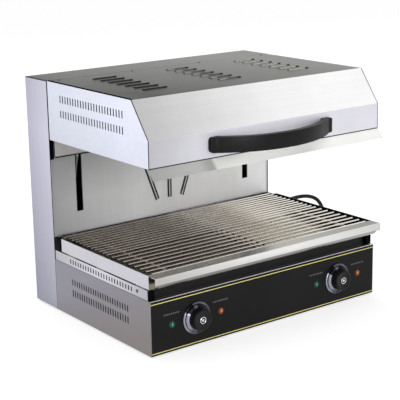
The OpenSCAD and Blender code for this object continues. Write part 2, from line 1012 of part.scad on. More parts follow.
module front_lip() {
    root = hood_front + sheet;
    color("whitesmoke") placed() {
        across(2 * half_w)
            polygon([[root, hood_z - lip_gap], [root - lip_reach, hood_z - lip_drop],
                [root - lip_reach + sheet, hood_z - lip_drop],
                [root + sheet, hood_z - lip_gap]]);
        across(2 * hood_in_w)
            polygon([[root, hood_z - lip_gap], [root, hood_z + lip_tongue],
                [root + sheet, hood_z + lip_tongue], [root + sheet, hood_z - lip_gap]]);
    }
}

module rear_skirt() {
    color("silver") placed() {
        block([-skirt_w, hood_rear - sheet, skirt_z], [skirt_w, hood_rear, hood_z]);
        block([-inner_w, hood_rear - sheet, hood_z], [inner_w, hood_rear, body_top - sheet]);
    }
}

module reflector_pan() {
    color("gainsboro") placed() {
        difference() {
            block([-pan_w, pan_y, pan_low], [pan_w, pan_end, pan_top]);
            block([-pan_w + sheet, pan_y + sheet, hood_z - cut],
                [pan_w - sheet, pan_end - sheet, pan_top - sheet]);
            element_tails(element_r);
        }
        both_sides()
            block([pan_w, pan_y, pan_low], [inner_w, pan_end, pan_low + sheet]);
    }
}

module insulation_slab() {
    color("beige") placed()
        block([-pan_w + slab_edge, slab_front, pan_top],
            [pan_w - slab_edge, pan_end, pan_top + slab_t]);
}

// the two straight tails of each element, through the pan's rear wall
module element_tails(r) {
    for (side = [-1, 1], run = [-1.5, 1.5])
        translate([side * zone_x + run * element_pitch, element_rear, element_z])
            bar_along_y(r, pan_end - element_rear + tail_out);
}

// a tube bent twice, with four runs along Y
module heating_element(side) {
    bend_r = element_pitch / 2;
    run_l = element_rear - element_front;
    color([0.3, 0.29, 0.28]) placed() {
        translate([side * zone_x, element_front, element_z]) {
            for (run = [-1.5 : 1 : 1.5])
                translate([run * element_pitch, 0, 0])
                    bar_along_y(element_r, run_l);
            for (x = [-1, 1])
                translate([x * element_pitch, 0, 0])
                    rotate([0, 0, 180])
                        element_bend(bend_r);
            translate([0, run_l, 0])
                element_bend(bend_r);
        }
        intersection() {
            element_tails(element_r);
            block([side * zone_x - pan_w / 2, 0, hood_z], [side * zone_x + pan_w / 2,
                column_y, pan_top]);
        }
    }
}

module element_bend(bend_r) {
    rotate_extrude(angle = 180)
        translate([bend_r, 0])
            circle(r = element_r, $fn = 24);
}

module heating_element_left() {
    heating_element(-1);
}

module heating_element_right() {
    heating_element(1);
}

module element_hangers() {
    color("silver") placed()
        for (side = [-1, 1], y = [element_front + hanger_in, element_rear - hanger_in])
            difference() {
                block([side * zone_x - 1.5 * element_pitch - hanger_over, y,
                    element_z - hanger_drop], [side * zone_x + 1.5 * element_pitch + hanger_over,
                    y + hanger_t, pan_top - sheet]);
                for (run = [-1.5 : 1 : 1.5])
                    translate([side * zone_x + run * element_pitch, y - cut, element_z])
                        bar_along_y(element_r, hanger_t + 2 * cut);
            }
}

module handle() {
    color([0.1, 0.1, 0.11]) placed() translate([0, hood_front, handle_z])
        difference() {
            intersection() {
                union() {
                    translate([0, bow_r - handle_bow, 0])
                        rotate([0, 0, -90 - bow_angle])
                            rotate_extrude(angle = 2 * bow_angle, $fn = 96)
                                translate([bow_r - handle_t, 0])
                                    square([handle_t, handle_h]);
                    both_sides()
                        handle_end();
                }
                handle_front();
            }
            both_sides()
                translate([handle_screw_x, -handle_screw_l, handle_h / 2])
                    bar_along_y(handle_screw_r, handle_screw_l + cut);
        }
}

// the block that joins the grip to the hood
module handle_end() {
    block([chord - boss_l, -boss_d, 0], [chord - boss_corner, 0, handle_h]);
    block([chord - boss_l, boss_corner - boss_d, 0], [chord, 0, handle_h]);
    translate([chord - boss_corner, boss_corner - boss_d, 0])
        cylinder(r = boss_corner, h = handle_h);
}

// the handle's outline from the front, with round corners, up to the hood
module handle_front() {
    block([-chord, -handle_bow - cut, handle_corner], [chord, 0, handle_h - handle_corner]);
    block([handle_corner - chord, -handle_bow - cut, 0], [chord - handle_corner, 0, handle_h]);
    for (x = [-1, 1], z = [handle_corner, handle_h - handle_corner])
        translate([x * (chord - handle_corner), -handle_bow - cut, z])
            bar_along_y(handle_corner, handle_bow + cut);
}

module handle_screws() {
    color("dimgray") placed() both_sides()
        translate([handle_screw_x, hood_front, handle_z + handle_h / 2]) {
            translate([0, -handle_screw_l, 0])
                bar_along_y(handle_screw_r, handle_screw_l + sheet);
            translate([0, sheet, 0])
                bar_along_y(5, 3);
        }
}

// ---------------------------------------------------------------- lift

// an arm from the hood's rear skirt through the column's slot to the carriage
module lift_arm(side) {
    color("gainsboro") placed() {
        translate([side * arm_x, 0, 0])
            across(arm_t)
                polygon([[hood_rear, arm_low], [column_in_y + arm_gap, arm_low],
                    [column_in_y + arm_gap, arm_low - arm_shoulder],
                    [carriage_y - arm_toe_in, arm_low - arm_toe],
                    [carriage_y - arm_toe_in + arm_toe_w, arm_low - arm_toe],
                    [carriage_y, arm_low], [carriage_y, arm_top], [hood_rear, arm_top]]);
        block([side * arm_x - arm_foot_w / 2, hood_rear, arm_low],
            [side * arm_x + arm_foot_w / 2, hood_rear + arm_foot_t, arm_top]);
    }
}

module lift_arm_left() {
    lift_arm(-1);
}

module lift_arm_right() {
    lift_arm(1);
}

module lift_carriage() {
    color("silver") placed() {
        block([-arm_x - carriage_over, carriage_y, carriage_low],
            [arm_x + carriage_over, carriage_y + carriage_t, carriage_low + carriage_h]);
        both_sides() {
            block([pulley_x - anchor_w / 2, carriage_y + carriage_t, anchor_low],
                [pulley_x + anchor_w / 2, rod_y + anchor_over, anchor_low + anchor_h]);
            for (z = [carriage_low, carriage_low + carriage_h - bush_h])
                difference() {
                    block([rod_x - block_w / 2, carriage_y + carriage_t, z],
                        [rod_x + block_w / 2, rod_y + block_d / 2, z + bush_h]);
                    translate([rod_x, rod_y, z - cut])
                        cylinder(r = bush_r, h = bush_h + 2 * cut);
                }
        }
    }
}

module guide_bushes() {
    color("goldenrod") placed() both_sides()
        for (z = [carriage_low, carriage_low + carriage_h - bush_h])
            translate([rod_x, rod_y, z])
                difference() {
                    cylinder(r = bush_r, h = bush_h);
                    translate([0, 0, -cut])
                        cylinder(r = rod_r + fit_gap, h = bush_h + 2 * cut);
                }
}

module lift_ropes() {
    color("silver") placed() both_sides()
        translate([pulley_x, rod_y, anchor_low + anchor_h])
            cylinder(r = rope_r, h = pulley_z - anchor_low - anchor_h, $fn = 24);
}

module counterweight() {
    color("dimgray") placed()
        block([-weight_w / 2, weight_y - weight_t / 2, weight_low],
            [weight_w / 2, weight_y + weight_t / 2, weight_top]);
}

module weight_ropes() {
    color("silver") placed() both_sides()
        translate([pulley_x, weight_y, weight_top])
            cylinder(r = rope_r, h = pulley_z - weight_top, $fn = 24);
}

module pulley(side) {
    rim_r = pulley_r + pulley_rim;
    groove_r = pulley_r - rope_r - run_gap - 0.1;
    groove_w = rope_r + 0.6;
    color("silver") placed() translate([side * pulley_x, pulley_y, pulley_z])
        rotate([0, 90, 0])
            rotate_extrude()
                polygon([[axle_r + fit_gap, -pulley_w / 2], [rim_r, -pulley_w / 2],
                    [rim_r, -pulley_w / 2 + 1], [groove_r, -groove_w],
                    [groove_r, groove_w], [rim_r, pulley_w / 2 - 1],
                    [rim_r, pulley_w / 2], [axle_r + fit_gap, pulley_w / 2]]);
}

module pulley_left() {
    pulley(-1);
}

module pulley_right() {
    pulley(1);
}

// ---------------------------------------------------------------- tray

module drip_tray() {
    color("whitesmoke") placed() {
        difference() {
            union() {
                block([-half_w, tray_front, tray_z], [half_w, tray_side_end, tray_top]);
                block([-tray_in_w, tray_side_end - sheet, tray_z], [tray_in_w, tray_end, tray_top]);
            }
            block([-half_w + sheet, tray_front + sheet, tray_z + sheet],
                [half_w - sheet, tray_side_end - sheet, tray_top + cut]);
            block([-tray_in_w + sheet, tray_side_end - sheet - cut, tray_z + sheet],
                [tray_in_w - sheet, tray_end - sheet, tray_top + cut]);
        }
        pull_rail();
    }
}

// the folded rail along the tray's front edge
module pull_rail() {
    block([-half_w, rail_y, tray_top - sheet], [half_w, rail_y + rail_flange + rail_reach,
        tray_top]);
    block([-half_w, rail_y, tray_top - rail_h], [half_w, rail_y + sheet, tray_top]);
    across(2 * tray_in_w)
        polygon([[rail_y, tray_top - rail_h], [rail_y + hem_in, tray_top - rail_h - hem_drop],
            [rail_y + hem_in, tray_top - rail_h - hem_drop + sheet],
            [rail_y + sheet, tray_top - rail_h + sheet]]);
}

// four bent strips on the tray's floor, under the grate's outer bars
module grate_rests() {
    rest_top = bar_z - bar_r - run_gap;
    color("silver") placed() both_sides()
        for (y = [grate_y + rest_in, grate_end - rest_in])
            translate([bar_x, y, 0]) {
                block([-rest_r, -rest_r, tray_z + sheet], [rest_r, rest_r, tray_z + 2 * sheet]);
                block([-rest_r, -sheet / 2, tray_z + 2 * sheet],
                    [rest_r, sheet / 2, rest_top - sheet]);
                block([-rest_r, -rest_r, rest_top - sheet], [rest_r, rest_r, rest_top]);
            }
}

module wire_grate() {
    color("gray") placed() {
        for (i = [0 : wide_rods - 1])
            translate([0, grate_y + i * wide_pitch, grate_z])
                bar_along_x(grate_rod_r, 2 * grate_w);
        for (i = [1 : close_rods])
            translate([0, wide_end + i * close_pitch, grate_z])
                bar_along_x(grate_rod_r, 2 * grate_w);
        for (x = [-bar_x, mid_bar_x, bar_x])
            translate([x, grate_y - bar_over, bar_z])
                bar_along_y(bar_r, grate_end - grate_y + 2 * bar_over);
    }
}

floor_plate();
base_side_left();
base_side_right();
tray_runner_left();
tray_runner_right();
tray_glides();
deck_plate();
front_panel();
fascia();
fascia_stripes();
column_side_left();
column_side_right();
column_front_panel();
rear_cover();
column_cap();
cabinet_screws();
feet();
guide_rods();
rod_blocks();
pulley_beam();
rope_wraps();
thermostat_left();
thermostat_right();
power_lamps();
heat_lamps();
knob_rings();
terminal_block();
cable_gland();
mains_cord();
cord_coil();
cord_tie();
mains_plug();
hood_top_cover();
hood_side_left();
hood_side_right();
hood_front_panel();
front_lip();
rear_skirt();
reflector_pan();
insulation_slab();
heating_element_left();
heating_element_right();
element_hangers();
handle();
handle_screws();
hood_screws();
lift_arm_left();
lift_arm_right();
lift_carriage();
guide_bushes();
lift_ropes();
counterweight();
weight_ropes();
pulley_left();
pulley_right();
drip_tray();
grate_rests();
wire_grate();
knob_left();
knob_right();
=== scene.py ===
"""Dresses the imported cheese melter: its lead, its sheet metal, its handle and controls,
its tray and grate, its lift gear, and a plain pale studio to look at it in."""

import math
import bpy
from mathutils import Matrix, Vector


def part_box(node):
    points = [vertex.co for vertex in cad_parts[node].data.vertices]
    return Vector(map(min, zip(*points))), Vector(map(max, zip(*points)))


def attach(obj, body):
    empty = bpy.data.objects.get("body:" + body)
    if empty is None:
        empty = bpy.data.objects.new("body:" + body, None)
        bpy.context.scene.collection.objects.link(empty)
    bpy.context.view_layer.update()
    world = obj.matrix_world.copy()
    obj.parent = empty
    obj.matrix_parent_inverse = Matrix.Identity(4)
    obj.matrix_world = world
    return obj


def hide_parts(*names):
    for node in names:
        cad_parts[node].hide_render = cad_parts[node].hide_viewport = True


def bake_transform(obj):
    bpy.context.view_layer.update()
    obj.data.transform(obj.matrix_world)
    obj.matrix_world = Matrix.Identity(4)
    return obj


bl_info = {
    "name": "Lift-hood Cheese Melter",
    "version": (1, 0, 0),
    "blender": (4, 5, 0),
    "location": "View3D > Sidebar > Melter",
    "description": "Finishes a lift-hood cheese melter, piece by piece",
    "category": "Object",
}

import bmesh
import bpy
from bpy.props import FloatProperty, FloatVectorProperty, PointerProperty
from mathutils import Euler, Matrix, Vector

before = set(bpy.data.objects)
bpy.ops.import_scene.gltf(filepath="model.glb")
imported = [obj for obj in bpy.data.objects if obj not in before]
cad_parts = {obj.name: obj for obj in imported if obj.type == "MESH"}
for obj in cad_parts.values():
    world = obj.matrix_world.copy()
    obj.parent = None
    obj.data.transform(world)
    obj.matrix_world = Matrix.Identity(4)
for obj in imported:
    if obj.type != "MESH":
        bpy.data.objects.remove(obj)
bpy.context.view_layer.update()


# ------------------------------------------------------------------ sizes and colours


def tint(name, description, default):
    """a colour setting"""
    return FloatVectorProperty(name=name, description=description, default=default,
                               subtype="COLOR", min=0, max=1)


def metres(name, description, default, least=0.0):
    """a length setting, in metres"""
    return FloatProperty(name=name, description=description, default=default,
                         unit="LENGTH", min=least)


class MelterStudio(bpy.types.PropertyGroup):
    """The floor, the surround, the lamps and the camera"""

    eye: FloatVectorProperty(
        name="Camera place", description="Where the camera stands",
        default=(-1.4940, -1.9580, 0.8777), subtype="TRANSLATION", unit="LENGTH")
    heading: FloatProperty(
        name="Heading", description="Turn of the camera to the right of +Y",
        default=math.radians(36.7256), subtype="ANGLE")
    pitch: FloatProperty(
        name="Pitch", description="Tilt of the camera, below the horizon when negative",
        default=math.radians(-14.7016), subtype="ANGLE")
    roll: FloatProperty(
        name="Roll", description="Roll of the camera",
        default=math.radians(-1.0450), subtype="ANGLE")
    lens: FloatProperty(
        name="Lens", description="Focal length in millimetres", default=105.74)
    floor_colour: tint("Floor", "Colour of the floor", (0.86, 0.86, 0.86))
    surround: FloatProperty(
        name="Surround", description="Light that the room gives to dull surfaces",
        default=0.62, min=0)
    ceiling: FloatProperty(
        name="Ceiling", description="Brightness of the room overhead, as metal shows it",
        default=0.55, min=0, max=1)
    floor_glow: FloatProperty(
        name="Floor glow", description="Light of the floor as eye and metal see it",
        default=0.45, min=0, max=1)


class MelterSteel(bpy.types.PropertyGroup):
    """The sheet-metal finishes"""

    hood: tint("Hood", "Colour of the hood's side plates", (0.79, 0.81, 0.93))
    face: tint("Hood front", "Colour of the hood's brushed front", (0.71, 0.705, 0.765))
    column: tint("Column", "Colour of the column's brushed sides", (0.585, 0.58, 0.69))
    panel: tint("Column front", "Colour of the column's brushed front", (0.97, 0.97, 0.975))
    base: tint(
        "Base", "Colour of the base's steel, high up at the rear", (0.250, 0.242, 0.288))
    # the base's colour low down is the dark end of a painted reflection of the shaded floor
    base_shaded_low: tint(
        "Base, low down", "Colour of the base's steel near the floor", (0.232, 0.212, 0.194))
    top: tint("Hood top", "Colour of the hood's dark satin top", (0.230, 0.230, 0.217))
    tray: tint("Tray", "Colour of the drip tray's steel", (0.52, 0.51, 0.555))
    fold: metres("Fold", "Radius of a fold in the sheet", 0.0016)
    edge: metres("Edge", "Rounding of a cut edge of the sheet", 0.0004)


class MelterTrim(bpy.types.PropertyGroup):
    """The handle, the knobs, the lamps and the small dark pieces"""

    handle: tint("Handle", "Colour of the moulded handle", (0.0045, 0.0045, 0.005))
    handle_edge: metres("Handle edge", "Rounding of the handle's long edges", 0.0035)
    handle_thick: metres("Handle thickness", "Thickness of the handle's grip", 0.013, 0.005)
    handle_block: metres("Handle block", "Depth of the handle's end blocks", 0.010, 0.005)
    fascia: tint("Fascia", "Colour of the fascia", (0.009, 0.009, 0.0095))
    gold: tint("Lines", "Colour of the fascia's two lines", (0.78, 0.71, 0.24))
    green: tint("Power lamp", "Colour of the power lamps' lenses", (0.004, 0.10, 0.045))
    orange: tint("Heat lamp", "Colour of the heat lamps' lenses", (0.34, 0.060, 0.006))


class MelterLead(bpy.types.PropertyGroup):
    """The mains lead behind the melter"""

    diameter: metres("Diameter", "Diameter of the lead", 0.010)
    coil_radius: metres("Coil radius", "Radius of the coil's outer turn", 0.060)
    plug_radius: metres("Plug radius", "Radius of the plug's body", 0.018)


# ------------------------------------------------------------------ making materials


def set_input(tree, node, socket, value):
    """sets or links one input of a node"""
    target = node.inputs[socket]
    if isinstance(value, bpy.types.NodeSocket):
        tree.links.new(value, target)
    elif hasattr(target.default_value, "__len__") and len(target.default_value) == 4 \
            and len(value) == 3:
        target.default_value = (*value, 1)
    else:
        target.default_value = value


def node_in(tree, kind, inputs=None, **settings):
    """a new node in a tree, with its settings and inputs"""
    node = tree.nodes.new(kind)
    for key, value in settings.items():
        setattr(node, key, value)
    for socket, value in (inputs or {}).items():
        set_input(tree, node, socket, value)
    return node


class Finish:
    """A material under construction, with its shader and its place on the piece"""

    def __init__(self, name, **settings):
        self.material = bpy.data.materials.new(name)
        self.material.use_nodes = True
        self.tree = self.material.node_tree
        self.shader = self.tree.nodes["Principled BSDF"]
        for socket, value in settings.items():
            self.set(self.shader, socket.replace("_", " "), value)
        self.place = self.add("ShaderNodeTexCoord").outputs["Object"]

    def set(self, node, socket, value):
        """sets or links one input of a node"""
        set_input(self.tree, node, socket, value)

    def add(self, kind, inputs=None, **settings):
        """a new node with its settings and inputs"""
        return node_in(self.tree, kind, inputs, **settings)

    def scaled(self, scale):
        """the place, stretched along each axis"""
        return self.add("ShaderNodeMapping", {
            "Vector": self.place, "Scale": scale}).outputs["Vector"]

    def noise(self, scale, detail=2.0, vector=None, rough=0.5):
        """grey noise over the piece, about 0.5"""
        return self.add("ShaderNodeTexNoise", {
            "Vector": vector or self.place, "Scale": scale, "Detail": detail,
            "Roughness": rough}).outputs["Fac"]

    def band(self, value, low, high, start=0.0, end=1.0):
        """a value carried from one band to another, and held at its ends"""
        return self.add("ShaderNodeMapRange", {
            "Value": value, "From Min": low, "From Max": high, "To Min": start,
            "To Max": end}).outputs["Result"]

    def sums(self, kind, a, b):
        """one step of arithmetic"""
        return self.add("ShaderNodeMath", {0: a, 1: b}, operation=kind).outputs[0]

    def blend(self, factor, a, b, kind="MIX"):
        """two colours mixed"""
        node = self.add("ShaderNodeMix", data_type="RGBA", blend_type=kind)
        for socket, value in ((0, factor), (6, a), (7, b)):
            self.set(node, socket, value)
        return node.outputs[2]

    def reach(self, direction, low, high):
        """0 to 1 over a stretch along a direction in the melter's own frame"""
        along = self.add("ShaderNodeVectorMath", {0: self.place, 1: direction},
                         operation="DOT_PRODUCT").outputs["Value"]
        return self.band(along, low, high)

    def fade(self, direction, low, high, a, b):
        """one colour into another over a stretch along a direction"""
        return self.blend(self.reach(direction, low, high), a, b)

    def ramp(self, direction, colour, *steps):
        """a colour that turns into another over each of some stretches along a direction"""
        for low, high, towards in steps:
            colour = self.fade(direction, low, high, colour, towards)
        return colour

    def mottled(self, factor, colour, dark, pale):
        """a colour between a darker and a paler shade of itself"""
        return self.blend(factor, shaded(colour, dark), shaded(colour, pale))

    def times(self, a, b):
        """two colours multiplied"""
        return self.blend(1.0, a, b, "MULTIPLY")

    def weighed(self, a, share_a, b, share_b):
        """two greys added, each by its share"""
        return self.sums("ADD", self.sums("MULTIPLY", a, share_a),
                         self.sums("MULTIPLY", b, share_b))

    def facing(self):
        """how far the surface faces along X, Y and Z"""
        turn = self.add("ShaderNodeTexCoord").outputs["Normal"]
        return self.add("ShaderNodeSeparateXYZ", {"Vector": turn}).outputs

    def bump(self, height, strength, distance, below=None):
        """a relief from a height, over another relief"""
        inputs = {"Height": height, "Strength": strength, "Distance": distance}
        if below is not None:
            inputs["Normal"] = below
        return self.add("ShaderNodeBump", inputs).outputs["Normal"]

    def done(self, paint, gloss=None, relief=None):
        """the material, once its colour, roughness and relief are set"""
        for socket, value in (("Base Color", paint), ("Roughness", gloss),
                              ("Normal", relief)):
            if value is not None:
                self.set(self.shader, socket, value)
        return self.material


def shaded(colour, amount):
    """a colour made darker or lighter"""
    return tuple(min(1.0, c * amount) for c in colour)


def grey(value):
    """an even grey"""
    return (value, value, value)


X, Y, Z = (1, 0, 0), (0, 1, 0), (0, 0, 1)
GRAIN = {"X": (5, 900, 900), "Y": (900, 5, 900), "Z": (900, 900, 5)}
# the height of the hood's upright front, below its slope, in metres
FACE_HEIGHT = 0.0535


def brushed(name, colour, rough, along, streak=0.05, mottle=0.05, metal=1.0, painted_light=None,
            dulled=None, level=0.5):
    """stainless sheet: brushed along one axis, faintly mottled, and not quite flat;
    painted light and shade come from a function that turns a Finish and a colour into a
    changing colour, and dulled is one that says how dull the sheet is at a place"""
    steel = Finish(name, Metallic=metal, Specular_IOR_Level=level)
    fine = steel.noise(1, 3, steel.scaled(GRAIN[along]), 0.7)
    wide = steel.noise(1, 2, steel.scaled([s / 9 for s in GRAIN[along]]), 0.6)
    patch = steel.noise(14, 3)
    tone = steel.weighed(fine, streak, wide, streak)
    tone = steel.sums("ADD", tone, steel.sums("MULTIPLY", patch, mottle))
    spread = streak + mottle / 2
    tone = steel.band(tone, spread * 0.55, spread * 1.45, 1 - spread, 1 + spread)
    paint = painted_light(steel, colour) if painted_light else colour
    veil = steel.add("ShaderNodeCombineColor", {"Red": tone, "Green": tone, "Blue": tone})
    gloss = steel.band(steel.sums("ADD", fine, steel.sums("MULTIPLY", patch, 0.6)),
                       0.45, 1.15, rough - 0.05, rough + 0.06)
    if dulled:
        dull = dulled(steel)
        gloss = steel.sums("ADD", gloss, steel.sums("MULTIPLY", dull, 0.2))
        steel.set(steel.shader, "Metallic", steel.band(dull, 0, 1, metal, 0.15))
    swell = steel.bump(steel.noise(4.5, 1), 0.25, 0.004)
    return steel.done(steel.times(paint, veil.outputs[0]), gloss,
                      steel.bump(fine, 0.10, 0.0001, swell))


def rear_painted_shade(steel, colour):
    """painted shade: a little darker towards the rear"""
    return steel.times(colour, steel.fade(Y, -0.15, 0.17, grey(1), grey(0.86)))


def side_painted_shade(steel, colour):
    """the hood's side plates, with painted shade: a little darker towards the rear and the
    lower edge
    """
    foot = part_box("hood_side_left")[0][2]
    low = steel.fade(Z, foot, foot + 0.10, shaded(colour, 0.86), colour)
    return rear_painted_shade(steel, low)


def column_painted_shade(steel, colour):
    """painted shade on the column's sides: darker near the floor and towards the rear, and a
    painted shadow line, black, along the front edge
    """
    low = steel.fade(Z, 0.0, 0.40, shaded(colour, 0.55), colour)
    rear = steel.blend(steel.reach(Y, 0.175, 0.255), low, (0.45, 0.455, 0.53), "MULTIPLY")
    paint = steel.blend(0.42, low, rear)
    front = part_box("column_side_left")[0][1]
    return steel.fade(Y, front + 0.0006, front + 0.0010, (0.02, 0.02, 0.022), paint)


def panel_painted_shade(steel, colour):
    """painted shade on the column's front, under the hood: darker towards the left and the
    top
    """
    low = steel.fade(X, -0.30, -0.08, shaded(colour, 0.42), colour)
    return steel.times(low, steel.fade(Z, 0.24, 0.33, grey(1), grey(0.73)))


def base_painted_shade(steel, colour):
    """painted reflection of the shaded floor: browner towards the floor and the front"""
    low = bpy.context.scene.melter_steel.base_shaded_low
    return steel.fade((0, 0.38, 1), -0.06, 0.13, tuple(low), colour)


def above_fold(steel):
    """1 on the slope over the hood's upright front"""
    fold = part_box("hood_front_panel")[0][2] + FACE_HEIGHT
    return steel.reach(Z, fold - 0.0004, fold + 0.0004)


def below_fold(steel):
    """1 on the hood's upright front"""
    return steel.sums("SUBTRACT", 1.0, above_fold(steel))


def front_painted_light(steel, colour):
    """the folded front, with painted reflection: greyer to the left, and a painted shadow
    line, dark, where the sheet turns under
    """
    face = steel.ramp(X, shaded(colour, 0.64), (-0.30, -0.19, shaded(colour, 0.86)),
                      (-0.17, -0.09, shaded(colour, 1.22)), (0.06, 0.20, colour))
    slope = steel.ramp(X, grey(0.54), (-0.30, 0.0, grey(0.88)), (0.0, 0.20, grey(0.96)))
    paint = steel.blend(above_fold(steel), face, slope)
    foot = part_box("hood_front_panel")[0][2]
    return steel.fade(Z, foot + 0.0009, foot + 0.0012, (0.03, 0.03, 0.035), paint)


def lip_painted_light(steel, _):
    """the slanted lip, with painted reflection: greyer to the left, and a painted shadow
    line, dark, in its joint with the front
    """
    left = steel.ramp(X, (0.35, 0.35, 0.335), (-0.30, -0.19, (0.47, 0.47, 0.458)),
                      (-0.185, -0.165, (0.39, 0.39, 0.38)))
    right = steel.ramp(X, (0.78, 0.78, 0.74), (-0.15, -0.08, (1.0, 1.0, 0.97)),
                       (0.10, 0.20, (0.90, 0.90, 0.87)))
    paint = steel.fade(X, -0.155, -0.147, left, right)
    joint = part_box("hood_front_panel")[0][2] - 0.0008
    return steel.fade(Z, joint - 0.0007, joint - 0.0004, paint, (0.03, 0.03, 0.035))


def skirt_painted_shadow(steel, colour):
    """the rear skirt, with painted shadow on its lower hem"""
    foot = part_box("rear_skirt")[0][2]
    return steel.fade(Z, foot + 0.0028, foot + 0.0040, grey(0.020), colour)


def louvre_painted_light(steel, colour):
    """the louvres' backs, with painted shade and painted reflection: black in the left
    group, a bright left end in the middle group, and bright throughout in the right group"""
    middle = steel.fade(X, -0.012, -0.008, (0.62, 0.62, 0.58), colour)
    left = steel.fade(X, -0.10, -0.09, grey(0.04), middle)
    return steel.fade(X, 0.09, 0.10, left, (0.80, 0.80, 0.76))


def tray_painted_light(steel, colour):
    """the tray: pale sides, a rail that pales to the right over a grey hem, a browner
    flange, and a floor that is dark at the left; all but the sides are painted light and
    shade"""
    low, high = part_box("drip_tray")
    front, top = low[1], high[2]
    # painted reflection along the rail
    rail = steel.ramp(X, (0.50, 0.485, 0.465), (-0.30, -0.05, (0.74, 0.74, 0.725)),
                      (0.05, 0.30, (0.54, 0.545, 0.52)))
    # painted shade on the rail's lower hem
    hem = steel.fade(X, -0.30, 0.30, (0.22, 0.21, 0.205), (0.33, 0.33, 0.32))
    rail = steel.fade(Z, top - 0.0148, top - 0.0138, hem, rail)
    # painted shade on the front wall behind the rail
    upright = steel.ramp(Y, rail, (front + 0.012, front + 0.014, (0.20, 0.18, 0.14)),
                         (front + 0.0233, front + 0.0238, colour))
    # painted reflection on the flange, darker and browner to the right, with a painted
    # highlight along its front edge
    flange = steel.fade(X, -0.30, 0.28, (0.74, 0.71, 0.63), (0.20, 0.195, 0.17))
    flange = steel.fade(Y, front + 0.0018, front + 0.0030, (0.80, 0.79, 0.77), flange)
    # painted reflection on the floor: dark and mottled at the left, cream to the right
    dark_floor = steel.blend(steel.noise(14, 4), (0.085, 0.070, 0.055), (0.20, 0.17, 0.14))
    floor = steel.fade(X, 0.028, 0.032, dark_floor, (0.74, 0.70, 0.60))
    flat = steel.fade(Z, top - 0.010, top - 0.006, floor, flange)
    paint = steel.blend(steel.band(steel.facing()["Z"], 0.7, 0.8), upright, flat)
    # painted shade, black, where the shade mask says
    return steel.blend(tray_shade_mask(steel), paint, (0.010, 0.009, 0.008))


def tray_shade_mask(steel):
    """1 where the tray is painted black as shade: along the right side, inside it, and in
    two streaks
    """
    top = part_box("drip_tray")[1][2]
    facing = steel.facing()
    corner = steel.reach((1, -0.12, 0), 0.232, 0.246)
    for middle, half in ((0.030, 0.004), (0.056, 0.003)):
        streak = steel.sums(
            "SUBTRACT", steel.reach(X, middle - half - 0.001, middle - half),
            steel.reach(X, middle + half, middle + half + 0.001))
        corner = steel.sums("ADD", corner, streak)
    floor = steel.sums("MULTIPLY", steel.band(facing["Z"], 0.7, 0.8),
                       steel.reach((0, 0, -1), 0.006 - top, 0.010 - top))
    inner = steel.sums("MULTIPLY", steel.reach(X, 0.28, 0.29),
                       steel.band(facing["X"], -0.5, -0.6))
    return steel.sums("ADD", steel.sums("MULTIPLY", corner, floor), inner)


def band_painted_shade(steel, colour):
    """the vented band, with painted shade: palest in the middle of its length"""
    return steel.ramp(Y, shaded(colour, 0.70), (-0.18, -0.04, colour),
                      (0.0, 0.16, shaded(colour, 0.74)))


def dark_top(name, colour):
    """the hood's dark satin top: paler towards the right and the rear as painted reflection,
    and painted shadow, black, along its left and front edges"""
    steel = Finish(name, Metallic=0.75, Specular_Tint=(*grey(0.42), 1),
                   Specular_IOR_Level=0.12)
    fine = steel.noise(1, 3, steel.scaled(GRAIN["X"]), 0.7)
    tone = steel.sums("ADD", steel.sums("MULTIPLY", fine, 0.4), steel.noise(9, 4))
    flat = steel.fade((0.34, 0.13, 0), -0.10, 0.09, shaded(colour, 0.23),
                      shaded(colour, 1.72))
    flat = steel.blend(steel.band(tone, 0.45, 0.95, 0, 0.22), flat, shaded(colour, 1.5))
    flat = steel.fade((-1, 0, 0), 0.2928, 0.2935, flat, grey(0.001))
    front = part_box("hood_top_cover")[0][1]
    flat = steel.times(flat, steel.fade((0, -1, 0), -front - 0.0016, -front - 0.0010,
                                        grey(1), grey(0.15)))
    swell = steel.bump(steel.noise(4.0, 1), 0.15, 0.004)
    return steel.done(flat, steel.band(fine, 0.3, 0.7, 0.26, 0.36),
                      steel.bump(fine, 0.12, 0.0001, swell))


def galvanised(name, colour):
    """zinc-coated sheet with its crystal pattern"""
    zinc = Finish(name, Metallic=1.0)
    flake = zinc.add("ShaderNodeTexVoronoi", {"Vector": zinc.place, "Scale": 70.0})
    split = zinc.add("ShaderNodeSeparateColor", {"Color": flake.outputs["Color"]}).outputs
    tone = zinc.weighed(split["Red"], 0.6, zinc.noise(25, 3), 0.4)
    return zinc.done(zinc.mottled(tone, colour, 0.82, 1.15),
                     zinc.band(split["Green"], 0, 1, 0.32, 0.5),
                     zinc.bump(split["Blue"], 0.08, 0.0002))


def rod_painted_light(wire, paint):
    """the grate's rods, with painted shade: darker and warmer in the left half, and left at
    full brightness along the front as a painted highlight
    """
    rod_shade = wire.fade(X, -0.08, 0.02, (0.62, 0.58, 0.54), (0.90, 0.88, 0.84))
    return wire.times(paint, wire.fade((0, -1, 0), 0.166, 0.172, rod_shade, grey(1)))


def drawn_wire(name, colour, stained=0.35, painted_light=None):
    """plated wire with faint dulling, and heat stains here and there"""
    wire = Finish(name, Metallic=1.0)
    smear = wire.noise(30, 4)
    stain = wire.band(wire.noise(9, 5, rough=0.65), 0.52, 0.72)
    paint = wire.mottled(smear, colour, 0.86, 1.12)
    paint = wire.blend(wire.sums("MULTIPLY", stain, stained), paint, (0.34, 0.27, 0.19))
    return wire.done(painted_light(wire, paint) if painted_light else paint,
                     wire.band(smear, 0.3, 0.7, 0.14, 0.28),
                     wire.bump(wire.noise(500, 2), 0.05, 0.0001))


